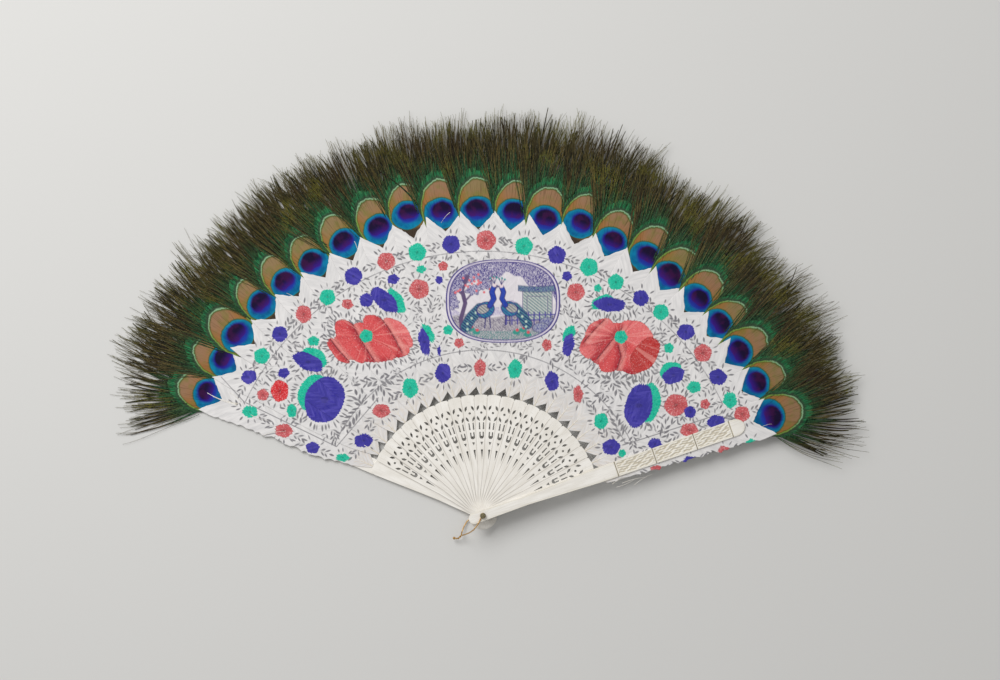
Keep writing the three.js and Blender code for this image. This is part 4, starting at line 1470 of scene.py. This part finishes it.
def bore(piece):
    """Drills the pivot hole through a piece."""
    drill = mesh_object("drill", *revolved([(BORE_RADIUS, -1), (BORE_RADIUS, 30)]))
    cut = piece.modifiers.new("bore", "BOOLEAN")
    cut.operation = "DIFFERENCE"
    cut.solver = "EXACT"
    cut.object = drill
    bored = bpy.data.meshes.new_from_object(piece.evaluated_get(bpy.context.evaluated_depsgraph_get()))
    piece.modifiers.clear()
    piece.data = bored
    bpy.data.objects.remove(drill)


def rivet(look):
    """The rivet: a post with a head at each end, with slightly domed faces and rounded rims."""
    rim = [(math.cos(a), math.sin(a)) for a in np.linspace(0, math.pi / 2, 7)]
    side = RIVET_HEAD - RIVET_FACE
    dome = [(RIVET_FACE + side * c, RIVET_RISE * (0.45 + 0.47 * s)) for c, s in rim]
    dome += [(RIVET_FACE * share, RIVET_RISE * (1 - 0.08 * share**2)) for share in (0.75, 0.5, 0.25, 0.02)]
    upper = [(radius, UPPER_HEAD_LOW + rise) for radius, rise in dome]
    lower = [(radius, RIVET_RISE - rise) for radius, rise in dome[::-1]]
    post = [(RIVET_HEAD, RIVET_RISE), (POST_RADIUS, RIVET_RISE), (POST_RADIUS, UPPER_HEAD_LOW)]
    piece = mesh_object("rivet_turned", *revolved([*lower, *post, (RIVET_HEAD, UPPER_HEAD_LOW), *upper]))
    piece.data.set_sharp_from_angle(angle=math.radians(50))
    finish_piece(piece, look, "rear_blade", "brass", "pivot_rivet")


def wire_loop(look):
    """The tassel's loop: two wires bowed out from the rivet, twisted to a stem that ends in a bead."""
    bodies = []
    turn = np.linspace(0, 2 * np.pi, 40)
    for level, sideways, shares in zip(EYE_LEVELS, LOOP_BOWS, LEG_SHARES):
        bodies.append(revolved([onward(EYE_MIDDLE, level, a, WIRE_HALF) for a in turn], 40))
        halfway = (EYE_MIDDLE + LOOP_FREE) / 2
        knots = [(EYE_MIDDLE, 0, level), (halfway, 0.7 * sideways, level), (LOOP_FREE, sideways, level)]
        for along, side, drop in shares:
            reach = LOOP_FREE + along * (LOOP_REACH - LOOP_FREE)
            knots.append((reach, side * sideways, level + drop * (LOOP_HEIGHT - level)))
        knots.append((LOOP_REACH, 0, LOOP_HEIGHT))
        path = smooth_path(knots, 8)
        bodies.append(strands(path[None], np.full((1, len(path)), WIRE_HALF), 12))
    middle = LOOP_REACH + STEM_LENGTH, 0, (LOOP_HEIGHT + BEAD_PLACE[2]) / 2
    stem = smooth_path([(LOOP_REACH - 1.1, 0, LOOP_HEIGHT), middle, BEAD_PLACE], 24)
    wind = np.linspace(0, 4 * np.pi, len(stem))
    for start in (0, np.pi):
        off = TWIST_RADIUS * np.stack([0 * wind, np.cos(wind + start), np.sin(wind + start)], -1)
        bodies.append(strands((stem + off)[None], np.full((1, len(stem)), TWIST_HALF), 10))
    turns = np.linspace(0, np.pi, 20)
    ball = [(max(math.sin(a), 0.02) * BEAD_RADIUS, -math.cos(a) * BEAD_RADIUS) for a in turns]
    bead_points, bead_faces = revolved(ball, 28)
    bodies.append((bead_points + BEAD_PLACE, bead_faces))
    points, faces = gathered(*bodies)
    points[:, 0], points[:, 1] = turned(points[:, 0], points[:, 1], math.radians(LOOP_DEG))
    finish_piece(mesh_object("loop_wire", points, faces), look, "loop", "brass", "tassel_loop")


def dress_nodes():
    """Gives each stick a bone of its own, with dirt and painted shade along its edges."""
    for blade in range(1, BLADES - 1):
        name = f"stick_{blade:02d}"
        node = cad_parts[name]
        node.data.materials.clear()
        node.data.materials.append(bone_look(f"bone_{blade:02d}", blade))


# The studio

FLOOR_DROP = 0.3
FLOOR_HALF = 20000
LIGHT_AT = (-900, 1250, 1700)
LIGHT_SIDE = 1300
KEY_SHARE = 0.55
FILL_SHARE = 0.45


def camera():
    """The photograph's view: straight down, with its middle pixel over the same place on the fan."""
    data = bpy.data.cameras.new("camera")
    data.sensor_width = 36
    data.lens = data.sensor_width * (CAMERA_HEIGHT - LEAF_HEIGHT) / (FRAME_WIDTH * PX)
    made = put("camera", data)
    across, up = from_photo(*MIDDLE_PX)
    made.location = (across * MM, up * MM, CAMERA_HEIGHT * MM)
    bpy.context.scene.camera = made


def studio():
    """A pale floor, one large soft lamp from the upper left and an even pale surround.

    The lamp's power is what gives a white surface its share of full light at the fan: the share times pi
    squared times the distance squared, over the cosine of the slant.
    """
    corners = [(x * FLOOR_HALF, y * FLOOR_HALF, -FLOOR_DROP) for x, y in ((-1, -1), (1, -1), (1, 1), (-1, 1))]
    floor = mesh_object("floor", corners, [np.array([[0, 1, 2, 3]])])
    floor.data.materials.append(Look("floor").surface({"Base Color": (214, 213, 210), "Roughness": 0.9}))
    target = Vector((0, from_photo(*MIDDLE_PX)[1] * MM, 0))
    lamp = bpy.data.lights.new("softbox", "AREA")
    lamp.size = LIGHT_SIDE * MM
    made = put("softbox", lamp)
    made.location = [v * MM for v in LIGHT_AT]
    away = target - made.location
    made.rotation_euler = away.to_track_quat("-Z", "Y").to_euler()
    lamp.energy = KEY_SHARE * math.pi**2 * away.length**2 / (-away.z / away.length)
    world = bpy.data.worlds.new("surround")
    world.use_nodes = True
    world.node_tree.nodes["Background"].inputs["Strength"].default_value = FILL_SHARE
    world.node_tree.nodes["Background"].inputs["Color"].default_value = (1, 1, 1, 1)
    bpy.context.scene.world = world
    bpy.context.scene.view_settings.view_transform = "Standard"


camera()
studio()
dress_nodes()
feathers()
strays(quill_look())
carved = bone_look("carved_bone", carved=True)
guard(0, carved, -1)
guard(BLADES - 1, carved, 1)
rivet(metal_look("old_rivet", 1.3, (84, 78, 60), (150, 138, 104), (0.35, 0.3), 0.75, 0.06))
wire_loop(metal_look("gilt_wire", 0.9, (150, 110, 62), (222, 184, 122), (0.3, 0.25), 0.9, 0.05))
